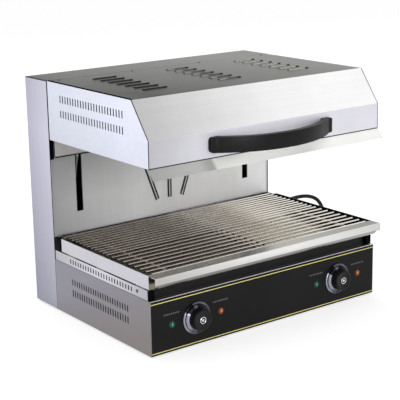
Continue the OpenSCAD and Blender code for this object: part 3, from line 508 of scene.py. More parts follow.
def ground_bar(name, colour):
    """a ground rod, with the fine rings that the wheel leaves, under a film of oil"""
    bar = Finish(name, Metallic=1.0, Coat_Weight=0.3, Coat_Roughness=0.05)
    rings = bar.noise(1, 2, bar.scaled((40, 40, 2600)))
    return bar.done(bar.mottled(rings, colour, 0.9, 1.08),
                    bar.band(rings, 0.3, 0.7, 0.12, 0.22), bar.bump(rings, 0.06, 0.00005))


def stranded(name, colour):
    """laid wire rope: slanting strands, darker between them"""
    rope = Finish(name, Metallic=1.0)
    turned_place = rope.add("ShaderNodeMapping", {
        "Vector": rope.place, "Rotation": (0.6, 0.6, 0)}).outputs["Vector"]
    lay = rope.add("ShaderNodeTexWave", {
        "Vector": turned_place, "Scale": 260.0, "Distortion": 0.6}, wave_type="BANDS",
        bands_direction="Z").outputs["Fac"]
    return rope.done(rope.mottled(lay, colour, 0.22, 1.1),
                     rope.band(lay, 0, 1, 0.55, 0.3), rope.bump(lay, 0.6, 0.0004))


def heat_tinted(name):
    """a heating tube's sheath, blue-brown where it has run hot"""
    tube = Finish(name, Metallic=0.85)
    cloud = tube.noise(24, 4)
    paint = tube.blend(tube.band(cloud, 0.35, 0.62), (0.10, 0.088, 0.080),
                       (0.20, 0.155, 0.115))
    paint = tube.blend(tube.band(tube.noise(60, 3), 0.58, 0.72), paint,
                       (0.075, 0.085, 0.12))
    return tube.done(paint, tube.band(cloud, 0.3, 0.7, 0.4, 0.62),
                     tube.bump(tube.noise(1500, 2), 0.12, 0.0001))


def cast_iron(name, colour):
    """rough cast iron with a thin grey paint"""
    iron = Finish(name, Metallic=0.35)
    sand = iron.noise(420, 4, rough=0.7)
    return iron.done(iron.mottled(sand, colour, 0.6, 1.3),
                     iron.band(sand, 0.3, 0.7, 0.55, 0.8), iron.bump(sand, 0.5, 0.0006))


def sintered(name):
    """porous bearing bronze, dark where oil has come out"""
    bronze = Finish(name, Metallic=0.9)
    oil = bronze.noise(60, 3)
    return bronze.done(bronze.blend(oil, (0.22, 0.135, 0.05), (0.46, 0.30, 0.12)),
                       bronze.band(oil, 0.3, 0.7, 0.25, 0.45),
                       bronze.bump(bronze.noise(900, 3), 0.3, 0.0002))


# kinds of plain surface: the noise of its clouds, its dark and pale tones, what dust adds
# to the pale one, how far its roughness falls and rises, the noise of its grain, and the
# grain's strength and depth
COAT = ((7, 4), (0.8, 1.2), 0.004, (-0.04, 0.05), (650, 2), (0.05, 0.0001))
MOULDED = ((20, 4), (0.75, 1.35), 0.0008, (-0.07, 0.06), (1900, 2), (0.18, 0.0001))
RUBBER = ((35, 5), (0.7, 1.3), 0.003, (-0.06, 0.1), (1200, 2), (0.15, 0.0002))
GLAZED = ((45, 3), (0.9, 1.06), 0.0, (0.0, 0.12), (300, 2), (0.06, 0.0002))


def plain(name, kind, colour, rough, level, dust=None):
    """a plain surface of a kind, with faint clouds and a fine grain"""
    clouds, (dark, pale), usual, (less, more), grain, relief = kind
    surface = Finish(name, Specular_IOR_Level=level)
    film = surface.noise(*clouds)
    dusty = tuple(c * pale + (usual if dust is None else dust) for c in colour)
    return surface.done(surface.blend(film, shaded(colour, dark), dusty),
                        surface.band(film, 0.3, 0.7, rough + less, rough + more),
                        surface.bump(surface.noise(*grain), *relief))


def black_mesh(name):
    """a black fly screen, woven fine"""
    mesh = Finish(name, Roughness=0.6, Specular_IOR_Level=0.2)
    wires = [mesh.add("ShaderNodeTexWave", {"Vector": mesh.place, "Scale": 320.0},
                      wave_type="BANDS", bands_direction=way).outputs["Fac"]
             for way in ("X", "Z")]
    weave = mesh.sums("MULTIPLY", *wires)
    return mesh.done(mesh.blend(weave, grey(0.002), (0.014, 0.014, 0.015)),
                     relief=mesh.bump(weave, 0.5, 0.0003))


def lens(name, colour, painted_middle_colour):
    """a faceted lens in coloured acrylic, paler in the middle, where its lamp is, as painted
    light
    """
    glass = Finish(name, Roughness=0.16, Specular_IOR_Level=0.3)
    core = glass.add("ShaderNodeAttribute", attribute_name="core").outputs["Fac"]
    near = glass.sums("ADD", core, glass.band(glass.noise(380, 2), 0.35, 0.65, -0.22, 0.22))
    paint = glass.blend(glass.band(near, 0.20, 0.50), shaded(colour, 0.35), colour)
    paint = glass.blend(glass.band(near, 0.48, 0.80), paint, painted_middle_colour)
    return glass.done(paint, relief=glass.bump(glass.noise(1500, 1), 0.1, 0.0001))


def chrome_trim(name, colour):
    """bright chrome, dulled by the painted reflection that a ring's "glint" attribute holds
    """
    chrome = Finish(name, Metallic=1.0)
    painted_reflection = chrome.add("ShaderNodeAttribute", attribute_name="glint").outputs["Fac"]
    smear = chrome.noise(60, 3)
    near = chrome.sums("ADD", painted_reflection, chrome.band(smear, 0.3, 0.7, -0.04, 0.04))
    return chrome.done(
        chrome.blend(chrome.band(near, 0.0, 1.0), (0.010, 0.010, 0.012), colour),
        chrome.band(smear, 0.3, 0.7, 0.12, 0.22))


def felted(name, colour):
    """a slab of mineral wool"""
    wool = Finish(name, Roughness=0.95, Sheen_Weight=0.3, Sheen_Roughness=0.5)
    hair = wool.noise(1, 5, wool.scaled((300, 300, 1400)), 0.7)
    lump = wool.noise(40, 3)
    return wool.done(wool.mottled(wool.weighed(hair, 0.6, lump, 0.4), colour, 0.72, 1.2),
                     relief=wool.bump(hair, 0.9, 0.0012))


finishes = {}


def make_finishes(scene):
    """every finish of the melter, by the name of its slot in the record"""
    steel, trim = scene.melter_steel, scene.melter_trim
    for make, name, *values in (
            (galvanised, "zinc_sheet", (0.46, 0.47, 0.48)),
            (dark_top, "top_steel", steel.top),
            (ground_bar, "ground_rod", (0.72, 0.72, 0.74)),
            (stranded, "rope_steel", (0.50, 0.50, 0.52)),
            (heat_tinted, "element_tube"),
            (cast_iron, "cast_grey", (0.10, 0.10, 0.105)),
            (sintered, "bronze"),
            (black_mesh, "black_mesh"),
            # flat black for the black stops and guides, and for the dark strips of painted
            # shadow
            (plain, "soot_black", COAT, grey(0.0015), 0.6, 0.03, 0.001),
            (plain, "dark_screw", COAT, (0.015, 0.015, 0.016), 0.4, 0.3),
            (plain, "black_enamel", COAT, grey(0.008), 0.34, 0.10),
            (plain, "fascia_black", COAT, trim.fascia, 0.36, 0.07),
            (plain, "gold_line", COAT, trim.gold, 0.4, 0.3),
            (plain, "pale_print", COAT, grey(0.13), 0.5, 0.1),
            (chrome_trim, "chrome_ring", (0.66, 0.67, 0.80)),
            (drawn_wire, "plated", (0.66, 0.66, 0.68)),
            (drawn_wire, "grate_wire", (0.84, 0.82, 0.78), 0.15, rod_painted_light),
            (lens, "green_lens", trim.green, (0.060, 0.36, 0.20)),
            (lens, "orange_lens", trim.orange, (0.80, 0.34, 0.10)),
            (plain, "handle_black", MOULDED, trim.handle, 0.40, 0.13),
            (plain, "knob_black", MOULDED, grey(0.006), 0.38, 0.16),
            (plain, "black_nylon", MOULDED, grey(0.010), 0.5, 0.4),
            (plain, "nylon", GLAZED, (0.66, 0.64, 0.55), 0.35, 0.5),
            (plain, "ceramic_white", GLAZED, (0.68, 0.66, 0.58), 0.2, 0.5),
            (felted, "mineral_wool", (0.56, 0.50, 0.33)),
            (plain, "black_rubber", RUBBER, grey(0.010), 0.55, 0.3),
            (plain, "cord_rubber", RUBBER, grey(0.009), 0.48, 0.14)):
        finishes[name] = make(name, *values)
    for name, colour, rough, along, settings in (
            ("base_steel", steel.base, 0.34, "Y", {"painted_light": base_painted_shade}),
            ("band_steel", (0.58, 0.575, 0.62), 0.3, "Y", {"painted_light": band_painted_shade}),
            ("column_steel", steel.column, 0.32, "Z", {"painted_light": column_painted_shade}),
            ("panel_steel", steel.panel, 0.50, "Z",
             {"streak": 0.04, "mottle": 0.08, "metal": 0.2, "painted_light": panel_painted_shade}),
            ("hood_steel", steel.hood, 0.3, "X", {"painted_light": side_painted_shade}),
            ("face_steel", steel.face, 0.24, "X",
             {"streak": 0.035, "mottle": 0.06, "painted_light": front_painted_light, "dulled": below_fold}),
            ("lip_steel", (0.97, 0.97, 0.945), 0.45, "X",
             {"streak": 0.04, "mottle": 0.06, "metal": 0.2, "painted_light": lip_painted_light}),
            # the skirt's darker colour is painted shade under the hood
            ("skirt_steel", (0.42, 0.41, 0.41), 0.4, "Z",
             {"metal": 0.7, "painted_light": skirt_painted_shadow}),
            ("edge_steel", (0.80, 0.78, 0.82), 0.3, "X", {}),
            ("louvre_steel", (0.20, 0.20, 0.19), 0.5, "X",
             {"metal": 0.05, "painted_light": louvre_painted_light}),
            ("tray_steel", steel.tray, 0.24, "X",
             {"mottle": 0.08, "painted_light": tray_painted_light, "dulled": tray_shade_mask, "level": 0.0}),
            ("bright_sheet", (0.62, 0.61, 0.60), 0.24, "X", {"mottle": 0.16}),
            ("screw_steel", (0.30, 0.30, 0.31), 0.3, "X", {})):
        finishes[name] = brushed(name, colour, rough, along, **settings)


# ------------------------------------------------------------------ making pieces


def merged_copy(node):
    """a copy of a CAD node's surface, with its corners joined and its flats whole"""
    shape = bmesh.new()
    shape.from_mesh(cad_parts[node].data)
    bmesh.ops.remove_doubles(shape, verts=shape.verts, dist=1e-5)
    bmesh.ops.dissolve_limit(shape, angle_limit=math.radians(0.4),
                             use_dissolve_boundaries=False, verts=shape.verts,
                             edges=shape.edges)
    return shape


def rounded(shape, edges, width, segments=2):
    """bevels the given edges to a round"""
    bmesh.ops.bevel(shape, geom=list(edges), offset=width, offset_type="OFFSET",
                    affect="EDGES", segments=segments, profile=0.5, material=-1,
                    clamp_overlap=True)


def sharp_edges(shape, angle):
    """the edges where two faces meet at more than an angle in degrees"""
    limit = math.radians(angle)
    return [e for e in shape.edges
            if len(e.link_faces) == 2 and e.calc_face_angle(0.0) > limit]


def edges_of(points):
    """the edges that end at any of some points"""
    return {e for v in points for e in v.link_edges}


# turns that send +Z to the axis named
TOWARDS = {name: Euler(turn).to_matrix().to_4x4() for name, turn in (
    ("X", (0, math.pi / 2, 0)), ("-X", (0, -math.pi / 2, 0)), ("Y", (-math.pi / 2, 0, 0)),
    ("-Y", (math.pi / 2, 0, 0)), ("Z", (0, 0, 0)))}


def tube_of(shape, radius, height, at, axis, sides):
    """adds a capped cylinder that stands on a point"""
    lift = Matrix.Translation((0, 0, height / 2))
    return bmesh.ops.create_cone(
        shape, cap_ends=True, cap_tris=False, segments=sides, radius1=radius,
        radius2=radius, depth=height,
        matrix=Matrix.Translation(at) @ TOWARDS[axis] @ lift)["verts"]


def box_of(shape, low, high):
    """adds a box between two corners"""
    low, high = Vector(low), Vector(high)
    size = high - low
    return bmesh.ops.create_cube(
        shape, size=1.0,
        matrix=Matrix.Translation((low + high) / 2) @ Matrix.Diagonal((*size, 1)))["verts"]


def turned(shape, outline, at, axis, steps):
    """spins an outline of (radius, height) points round an axis through a point"""
    verts = [shape.verts.new((r, 0, z)) for r, z in outline]
    edges = [shape.edges.new(pair) for pair in zip(verts, verts[1:])]
    made = bmesh.ops.spin(shape, geom=verts + edges, cent=(0, 0, 0), axis=Z,
                          angle=2 * math.pi, steps=steps, use_merge=True)
    fresh = set(verts) | {v for v in made["geom_last"] if isinstance(v, bmesh.types.BMVert)}
    grown = set(fresh)
    while fresh:
        fresh = {e.other_vert(v) for v in fresh for e in v.link_edges} - grown
        grown |= fresh
    bmesh.ops.transform(shape, matrix=Matrix.Translation(at) @ TOWARDS[axis],
                        verts=list(grown))


def arc(middle, radius, first, last, steps, rise=None):
    """the points of an arc in a plane, between two angles in degrees; with a rise, of an
    ellipse that is as high as that"""
    rise = radius if rise is None else rise
    turn = [math.radians(first + (last - first) * i / steps) for i in range(steps + 1)]
    return [(middle[0] + radius * math.cos(t), middle[1] + rise * math.sin(t))
            for t in turn]


def prism(shape, outline, depth):
    """a solid between a flat outline and the same outline further along"""
    base = [shape.verts.new(point) for point in outline]
    shape.faces.new(base)
    far = [shape.verts.new(Vector(point) + Vector(depth)) for point in outline]
    shape.faces.new(far)
    rims = [shape.edges.get(pair) for loop in (base, far)
            for pair in zip(loop, loop[1:] + loop[:1])]
    bmesh.ops.bridge_loops(shape, edges=rims)


def cross_screw(shape, at, axis, scale=1.0):
    """a domed screw head with a cross recess, on its shank"""
    head, height, arm = 0.0035 * scale, 0.002 * scale, 0.00055 * scale
    bit = bmesh.new()
    outline = [(r * head, z * height) for r, z in (
        (0, -3), (0.5, -3), (0.5, 0), (1, 0), (1, 0.35), (0.9, 0.62), (0.7, 0.84),
        (0.4, 0.96), (0, 1))]
    turned(bit, outline, (0, 0, 0), "Z", 24)
    for way in (X, Y):
        for side in (-arm, arm):
            bmesh.ops.bisect_plane(
                bit, geom=bit.verts[:] + bit.edges[:] + bit.faces[:],
                plane_co=Vector(way) * side, plane_no=way)
    cross = []
    for face in bit.faces:
        middle = face.calc_center_median()
        if middle.z > 0.5 * height and min(abs(middle.x), abs(middle.y)) < arm \
                and middle.to_2d().length < 0.66 * head:
            cross.append(face)
    sunk = bmesh.ops.extrude_face_region(bit, geom=cross)["geom"]
    bmesh.ops.delete(bit, geom=cross, context="FACES_KEEP_BOUNDARY")
    bmesh.ops.translate(bit, vec=(0, 0, -0.55 * height),
                        verts=[v for v in sunk if isinstance(v, bmesh.types.BMVert)])
    bmesh.ops.transform(bit, matrix=Matrix.Translation(at) @ TOWARDS[axis],
                        verts=bit.verts)
    loose = bpy.data.meshes.new("screw")
    bit.to_mesh(loose)
    bit.free()
    shape.from_mesh(loose)
    bpy.data.meshes.remove(loose)


def middle_of(node):
    """the middle of a CAD node's box"""
    return [(a + b) / 2 for a, b in zip(*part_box(node))]


def placed(name, shape, body, finish, stands_for=(), sharp=32, paint=None):
    """turns a finished shape into a piece that rides on a body, in a slot's own finish or
    in another paint"""
    bmesh.ops.remove_doubles(shape, verts=shape.verts, dist=1e-6)
    bmesh.ops.recalc_face_normals(shape, faces=shape.faces)
    mesh = bpy.data.meshes.new(name)
    shape.to_mesh(mesh)
    shape.free()
    mesh.shade_smooth()
    mesh.set_sharp_from_angle(angle=math.radians(sharp))
    piece = bpy.data.objects.new(name, mesh)
    bpy.context.scene.collection.objects.link(piece)
    mesh.materials.append(finishes[paint or finish])
    if body:
        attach(piece, body)
    if stands_for:
        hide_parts(*stands_for)
    return piece


def repaint(node, finish):
    """gives a CAD node that keeps its shape its finish"""
    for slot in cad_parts[node].material_slots:
        slot.material = finishes[finish]


# ------------------------------------------------------------------ the lead


def catmull(points, steps):
    """a smooth line through points"""
    line = []
    for i in range(len(points) - 1):
        a, b, c, d = (Vector(points[max(0, min(len(points) - 1, k))])
                      for k in (i - 1, i, i + 1, i + 2))
        for s in range(steps):
            t = s / steps
            line.append(0.5 * ((2 * b) + (c - a) * t + (2 * a - 5 * b + 4 * c - d) * t * t
                               + (3 * b - a - 3 * c + d) * t ** 3))
    line.append(Vector(points[-1]))
    return line


# the lead's way from the gland to its coil, in millimetres from the gland's
# middle and the rear cover
LEAD_ROUTE = (
    (0, 30, 80), (0, 42, 80), (3, 55, 80), (9, 67, 80), (19, 76, 80.5), (32, 81, 81),
    (48, 82, 81.5), (66, 80, 82.5), (88, 77, 84), (113, 73, 84.3), (138, 69, 84.5),
    (163, 65, 84.5), (188, 63, 84.3), (214, 60, 84.3), (240, 57, 85), (259, 55, 86.5),
    (272, 53.5, 86.8), (289, 52, 85.4), (305, 50, 81.6), (318, 48.5, 75.8),
    (327, 47, 69.2), (333, 45.5, 61.7), (337, 44, 54.7), (340, 43, 46.6), (342, 42, 36.6),
    (345, 41, 23.6), (351, 41, 13.0), (361, 43, 7.5), (376, 48, 5.8), (399, 58, 5.5),
    (407, 69, 5.2), (411, 82, 5.2), (409, 95, 5.2), (402, 107, 5.2), (391, 116, 5.2),
    (377, 122, 5.2), (358, 126, 5.2), (336, 130, 5.2), (313, 133, 5.2), (290, 137, 5.4),
    (268, 139, 5.8), (248, 140, 6.2))
COIL_TURNS = 3
LAYER_STEP = 0.0102


def lead_line(lead):
    """the lead's whole centreline, from the gland round the coil to the plug"""
    start = Vector((middle_of("cable_gland")[0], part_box("rear_cover")[1][1], 0))
    middle = Vector((*middle_of("cord_coil")[:2], 0))
    way = [start + Vector(point) / 1000 for point in LEAD_ROUTE]
    floor_z, climb, step = way[-1].z, 70, 6
    turns = 360 * COIL_TURNS
    inward = turns / 2 - climb / 2
    for angle in range(0, turns + 1, step):
        if angle <= inward:
            radius, rise = lead.coil_radius - LAYER_STEP * angle / 360, 0.0
        elif angle <= inward + climb:
            share = (angle - inward) / climb
            radius = lead.coil_radius - LAYER_STEP * inward / 360
            rise = LAYER_STEP * share * share * (3 - 2 * share)
        else:
            radius = lead.coil_radius - LAYER_STEP * (turns - angle) / 360
            rise = LAYER_STEP
        turn = math.radians(90 + angle)
        way.append(middle + Vector((radius * math.cos(turn), radius * math.sin(turn),
                                    floor_z + rise)))
    end = way[-1]
    way += [end + Vector((-0.012, 0, 0.0006)), end + Vector((-0.024, 0, 0.0013)),
            end + Vector((-0.036, 0, 0.0016))]
    return catmull(way, 3)


class MELTER_OT_lead(bpy.types.Operator):
    """Lay the mains lead, with its gland, coil, tie and plug"""

    bl_idname = "melter.lead"
    bl_label = "Mains lead"

    def execute(self, context):
        lead = context.scene.melter_lead
        radius = lead.diameter / 2
        line = lead_line(lead)
        curve = bpy.data.curves.new("mains_lead", "CURVE")
        curve.dimensions = "3D"
        curve.bevel_depth = radius
        curve.bevel_resolution = 4
        curve.use_fill_caps = True
        spline = curve.splines.new("POLY")
        spline.points.add(len(line) - 1)
        for point, at in zip(spline.points, line):
            point.co = (*at, 1)
        curve.materials.append(finishes["cord_rubber"])
        cord = bpy.data.objects.new("mains_lead", curve)
        context.scene.collection.objects.link(cord)
        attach(cord, "cabinet")
        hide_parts("mains_cord", "cord_coil")
        pieces = [self.gland(radius), self.tie(), self.plug(lead, radius)]
        return {"FINISHED"}

    def gland(self, radius):
        """a screwed gland with a ribbed, tapering strain relief"""
        low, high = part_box("cable_gland")
        x, _, z = middle_of("cable_gland")
        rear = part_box("rear_cover")[1][1]
        shape = bmesh.new()
        nut = tube_of(shape, (high[0] - low[0]) / 2, 0.007, (x, rear, z), "Y", 6)
        rounded(shape, edges_of(nut), 0.0007)
        outline = [(0.0, -0.0085), (0.0076, -0.0085), (0.0076, 0.0), (0.0105, 0.0065),
                   (0.011, 0.0075), (0.011, 0.0125), (0.0096, 0.0135)]
        for rib in range(4):
            at = 0.0145 + rib * 0.0037
            thick = 0.0088 - rib * 0.0007
            outline += [(thick, at), (thick, at + 0.0022), (thick - 0.0014, at + 0.0026),
                        (thick - 0.0014, at + 0.0034)]
        outline += [(radius + 0.0009, 0.0296), (radius + 0.0001, 0.0299), (0.0, 0.0299)]
        turned(shape, outline, (x, rear, z), "Y", 36)
        return placed("lead_gland", shape, "cabinet", "black_nylon", ["cable_gland"])

    def tie(self):
        """a hook-and-loop tie round the coil, with its loose end lapped over"""
        low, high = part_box("cord_tie")
        shape = bmesh.new()
        hoop = box_of(shape, low, high)
        rounded(shape, [e for e in edges_of(hoop)
                        if abs((e.verts[0].co - e.verts[1].co).normalized().x) > 0.9],
                0.004, 4)
        ends = [f for f in shape.faces if abs(f.normal.x) > 0.9]
        bmesh.ops.inset_region(shape, faces=ends, thickness=0.0009, use_even_offset=True)
        bmesh.ops.delete(shape, geom=ends, context="FACES")
        rims = [e for e in shape.edges if e.is_boundary]
        bmesh.ops.bridge_loops(shape, edges=rims)
        box_of(shape, (low[0], low[1] + 0.006, high[2] - 0.0004),
               (high[0], high[1] - 0.006, high[2]))
        return placed("lead_tie", shape, "cabinet", "black_nylon", ["cord_tie"])

    def plug(self, lead, radius):
        """a moulded round-pin plug, with a ribbed grip and a flat face"""
        at = Vector((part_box("mains_plug")[1][0], *middle_of("mains_plug")[1:]))
        back, face = 0.028, 0.092
        shape = bmesh.new()
        outline = [(0.0, back - 0.002), (radius + 0.0008, back - 0.002)]
        for rib in range(6):
            start = back + 0.001 + rib * 0.0046
            wide = radius + 0.0018 + rib * 0.0011
            outline += [(wide, start), (wide + 0.0003, start + 0.0026),
                        (wide - 0.0008, start + 0.0031), (wide - 0.0007, start + 0.0043)]
        width = lead.plug_radius
        outline += [(width - 0.005, face - 0.034), (width - 0.0016, face - 0.031),
                    (width, face - 0.027), (width, face - 0.0022),
                    (width - 0.0008, face - 0.0006), (width - 0.0026, face), (0.0, face)]
        turned(shape, outline, at, "-X", 48)
        piece = placed("lead_plug", shape, "cabinet", "cord_rubber", ["mains_plug"])
        pins = bmesh.new()
        for side in (-1, 1):
            foot = at + Vector((-face + 0.002, side * 0.0095, 0))
            turned(pins, [(0.0, 0.0), (0.0024, 0.0), (0.0024, 0.0192), (0.0017, 0.0206),
                          (0.0, 0.021)], foot, "-X", 20)
        pins = placed("plug_pins", pins, "cabinet", "chrome_ring", paint="plated")
        pins.parent = piece
        pins.matrix_parent_inverse = Matrix.Identity(4)
        return piece


# ------------------------------------------------------------------ the studio


def make_camera(scene):
    """the camera at its place"""
    studio = scene.melter_studio
    camera = bpy.data.cameras.new("melter_camera")
    camera.lens = studio.lens
    camera.sensor_width = 36
    camera.clip_start = 0.05
    eye = bpy.data.objects.new("melter_camera", camera)
    scene.collection.objects.link(eye)
    turn = (Matrix.Rotation(-studio.heading, 4, "Z")
            @ Matrix.Rotation(math.pi / 2 + studio.pitch, 4, "X")
            @ Matrix.Rotation(studio.roll, 4, "Z"))
    eye.matrix_world = Matrix.Translation(studio.eye) @ turn
    scene.camera = eye


def seen_by_eye_or_mirror(tree):
    """1 for rays from the camera, and for what gloss and glass show"""
    path = node_in(tree, "ShaderNodeLightPath").outputs
    total = path["Is Camera Ray"]
    for ray in ("Is Glossy Ray", "Is Transmission Ray"):
        total = node_in(tree, "ShaderNodeMath", {0: total, 1: path[ray]},
                        operation="MAXIMUM").outputs[0]
    return total


class MELTER_OT_studio(bpy.types.Operator):
    """Set up the floor, the surround, the lamps and the camera"""

    bl_idname = "melter.studio"
    bl_label = "Studio"

    def execute(self, context):
        scene = context.scene
        scene.view_settings.view_transform = "Standard"
        make_camera(scene)
        self.surround(scene)
        self.floor(scene)
        self.lamps(scene)
        return {"FINISHED"}

    def surround(self, scene):
        """a white room with a greyer ceiling"""
        studio = scene.melter_studio
        world = bpy.data.worlds.new("studio")
        scene.world = world
        world.use_nodes = True
        tree = world.node_tree
        tree.nodes.clear()
        place = node_in(tree, "ShaderNodeTexCoord").outputs["Generated"]
        height = node_in(tree, "ShaderNodeSeparateXYZ", {0: place}).outputs["Z"]
        room = node_in(tree, "ShaderNodeMapRange", {
            "Value": height, "From Min": 0.81, "From Max": 0.93, "To Min": 1.0,
            "To Max": studio.ceiling}, interpolation_type="SMOOTHSTEP").outputs["Result"]
        seen = node_in(tree, "ShaderNodeMix", data_type="FLOAT")
        for socket, value in ((0, seen_by_eye_or_mirror(tree)), (2, studio.surround),
                              (3, room)):
            set_input(tree, seen, socket, value)
        glow = node_in(tree, "ShaderNodeBackground", {
            "Color": (1, 1, 1), "Strength": seen.outputs[0]}).outputs[0]
        node_in(tree, "ShaderNodeOutputWorld", {"Surface": glow})

    def floor(self, scene):
        """a plain pale floor that keeps the shadow"""
        studio = scene.melter_studio
        shape = bmesh.new()
        bmesh.ops.create_grid(shape, x_segments=1, y_segments=1, size=12)
        mesh = bpy.data.meshes.new("floor")
        shape.to_mesh(mesh)
        shape.free()
        floor = bpy.data.objects.new("floor", mesh)
        scene.collection.objects.link(floor)
        paint = bpy.data.materials.new("floor")
        paint.use_nodes = True
        tree = paint.node_tree
        tree.nodes.clear()
        dull = node_in(tree, "ShaderNodeBsdfDiffuse", {
            "Color": tuple(studio.floor_colour)}).outputs[0]
        share = node_in(tree, "ShaderNodeMath", {
            0: seen_by_eye_or_mirror(tree), 1: studio.floor_glow}, operation="MULTIPLY")
        lift = node_in(tree, "ShaderNodeEmission", {"Strength": share.outputs[0]}).outputs[0]
        both = node_in(tree, "ShaderNodeAddShader", {0: dull, 1: lift}).outputs[0]
        node_in(tree, "ShaderNodeOutputMaterial", {"Surface": both})
        mesh.materials.append(paint)

    def lamps(self, scene):
        """three soft boxes"""
        aim = Vector((0, 0, 0.22))
        for name, at, size, power in (
                ("key_lamp", (-2.2, -2.4, 2.9), 2.2, 30),
                ("fill_lamp", (-0.8, -3.2, 0.70), 1.4, 29),
                ("rear_lamp", (0.6, 2.8, 2.6), 2.0, 20)):
            lamp = bpy.data.lights.new(name, "AREA")
            lamp.shape = "SQUARE"
            lamp.size = size
            lamp.energy = power
            piece = bpy.data.objects.new(name, lamp)
            scene.collection.objects.link(piece)
            piece.location = at
            piece.rotation_euler = (aim - Vector(at)).to_track_quat("-Z", "Y").to_euler()


# ------------------------------------------------------------------ sheet metal

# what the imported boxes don't give: places and sizes in metres, numbers of slots and
# louvres, and the fan's tilt in degrees
DECK_TOP = 0.117
TRAY_SIDE_END = 0.1373
SLOPE_FOOT = 0.4335
LOUVRE_X = 0.188
LOUVRE_Y = -0.0637
LOUVRE_PITCH = 0.0306
LOUVRES = 7
BAND_SCREW_Y = -0.1457
BAND_X, BAND_FRONT, BAND_REAR = 0.2971, -0.178, 0.160
STOP_X = (0.2898, 0.2992)
SEAM_X = 0.2998
COVER_SCREW_X = 0.291
COVER_SCREW_Z = (0.034, 0.2534, 0.4728)
REAR_SLOT_X = 0.150
REAR_SLOT_Z = 0.157
REAR_SLOT_PITCH = 0.020
REAR_SLOT_H = 0.005
REAR_ROWS = 9
SCREEN_HALF, SCREEN_BELOW, SCREEN_ABOVE = 0.051, 0.008, 0.014
FAN_X = 0.008
FAN_Z = 0.2035
FAN_HEIGHT = 0.100
FAN_STEP = 0.034
FAN_TILT = 20
FAN_WEB = 0.004
FAN_SLOT = 0.0024
KNOB_X = 0.190
LAMP_X = 0.0605
TICK_PITCH = 0.0043
TICK_Z = 0.0815
# the painted reflection on a ring: how bright, by angle from its right side, seen from the
# front
GLINTS = ((5, 25, 0.06), (25, 50, 0.12), (50, 70, 0.16), (70, 112, 0.13), (112, 150, 0.0),
          (150, 226, 0.42), (226, 240, 0.26), (240, 262, 0.14))
GLINT_ELSEWHERE = 0.05
# an edge of a sheet that is longer than this is rounded
LONG_EDGE = 0.040


def edged(node, finish, body, edge, fold=0.0, paint=None):
    """a sheet-metal piece over its CAD node, with its long edges and its folds rounded"""
    shape = merged_copy(node)
    if fold:
        rounded(shape, [e for e in sharp_edges(shape, 25)
                        if e.calc_face_angle() < math.radians(50)
                        and e.calc_length() > LONG_EDGE], fold, 4)
    rounded(shape, [e for e in sharp_edges(shape, 60) if e.calc_length() > LONG_EDGE], edge)
    piece = placed(node + "_sheet", shape, body, finish, [node], paint=paint)
    flat = piece.modifiers.new("Flat faces", "WEIGHTED_NORMAL")
    flat.mode, flat.weight, flat.keep_sharp = "FACE_AREA", 100, True


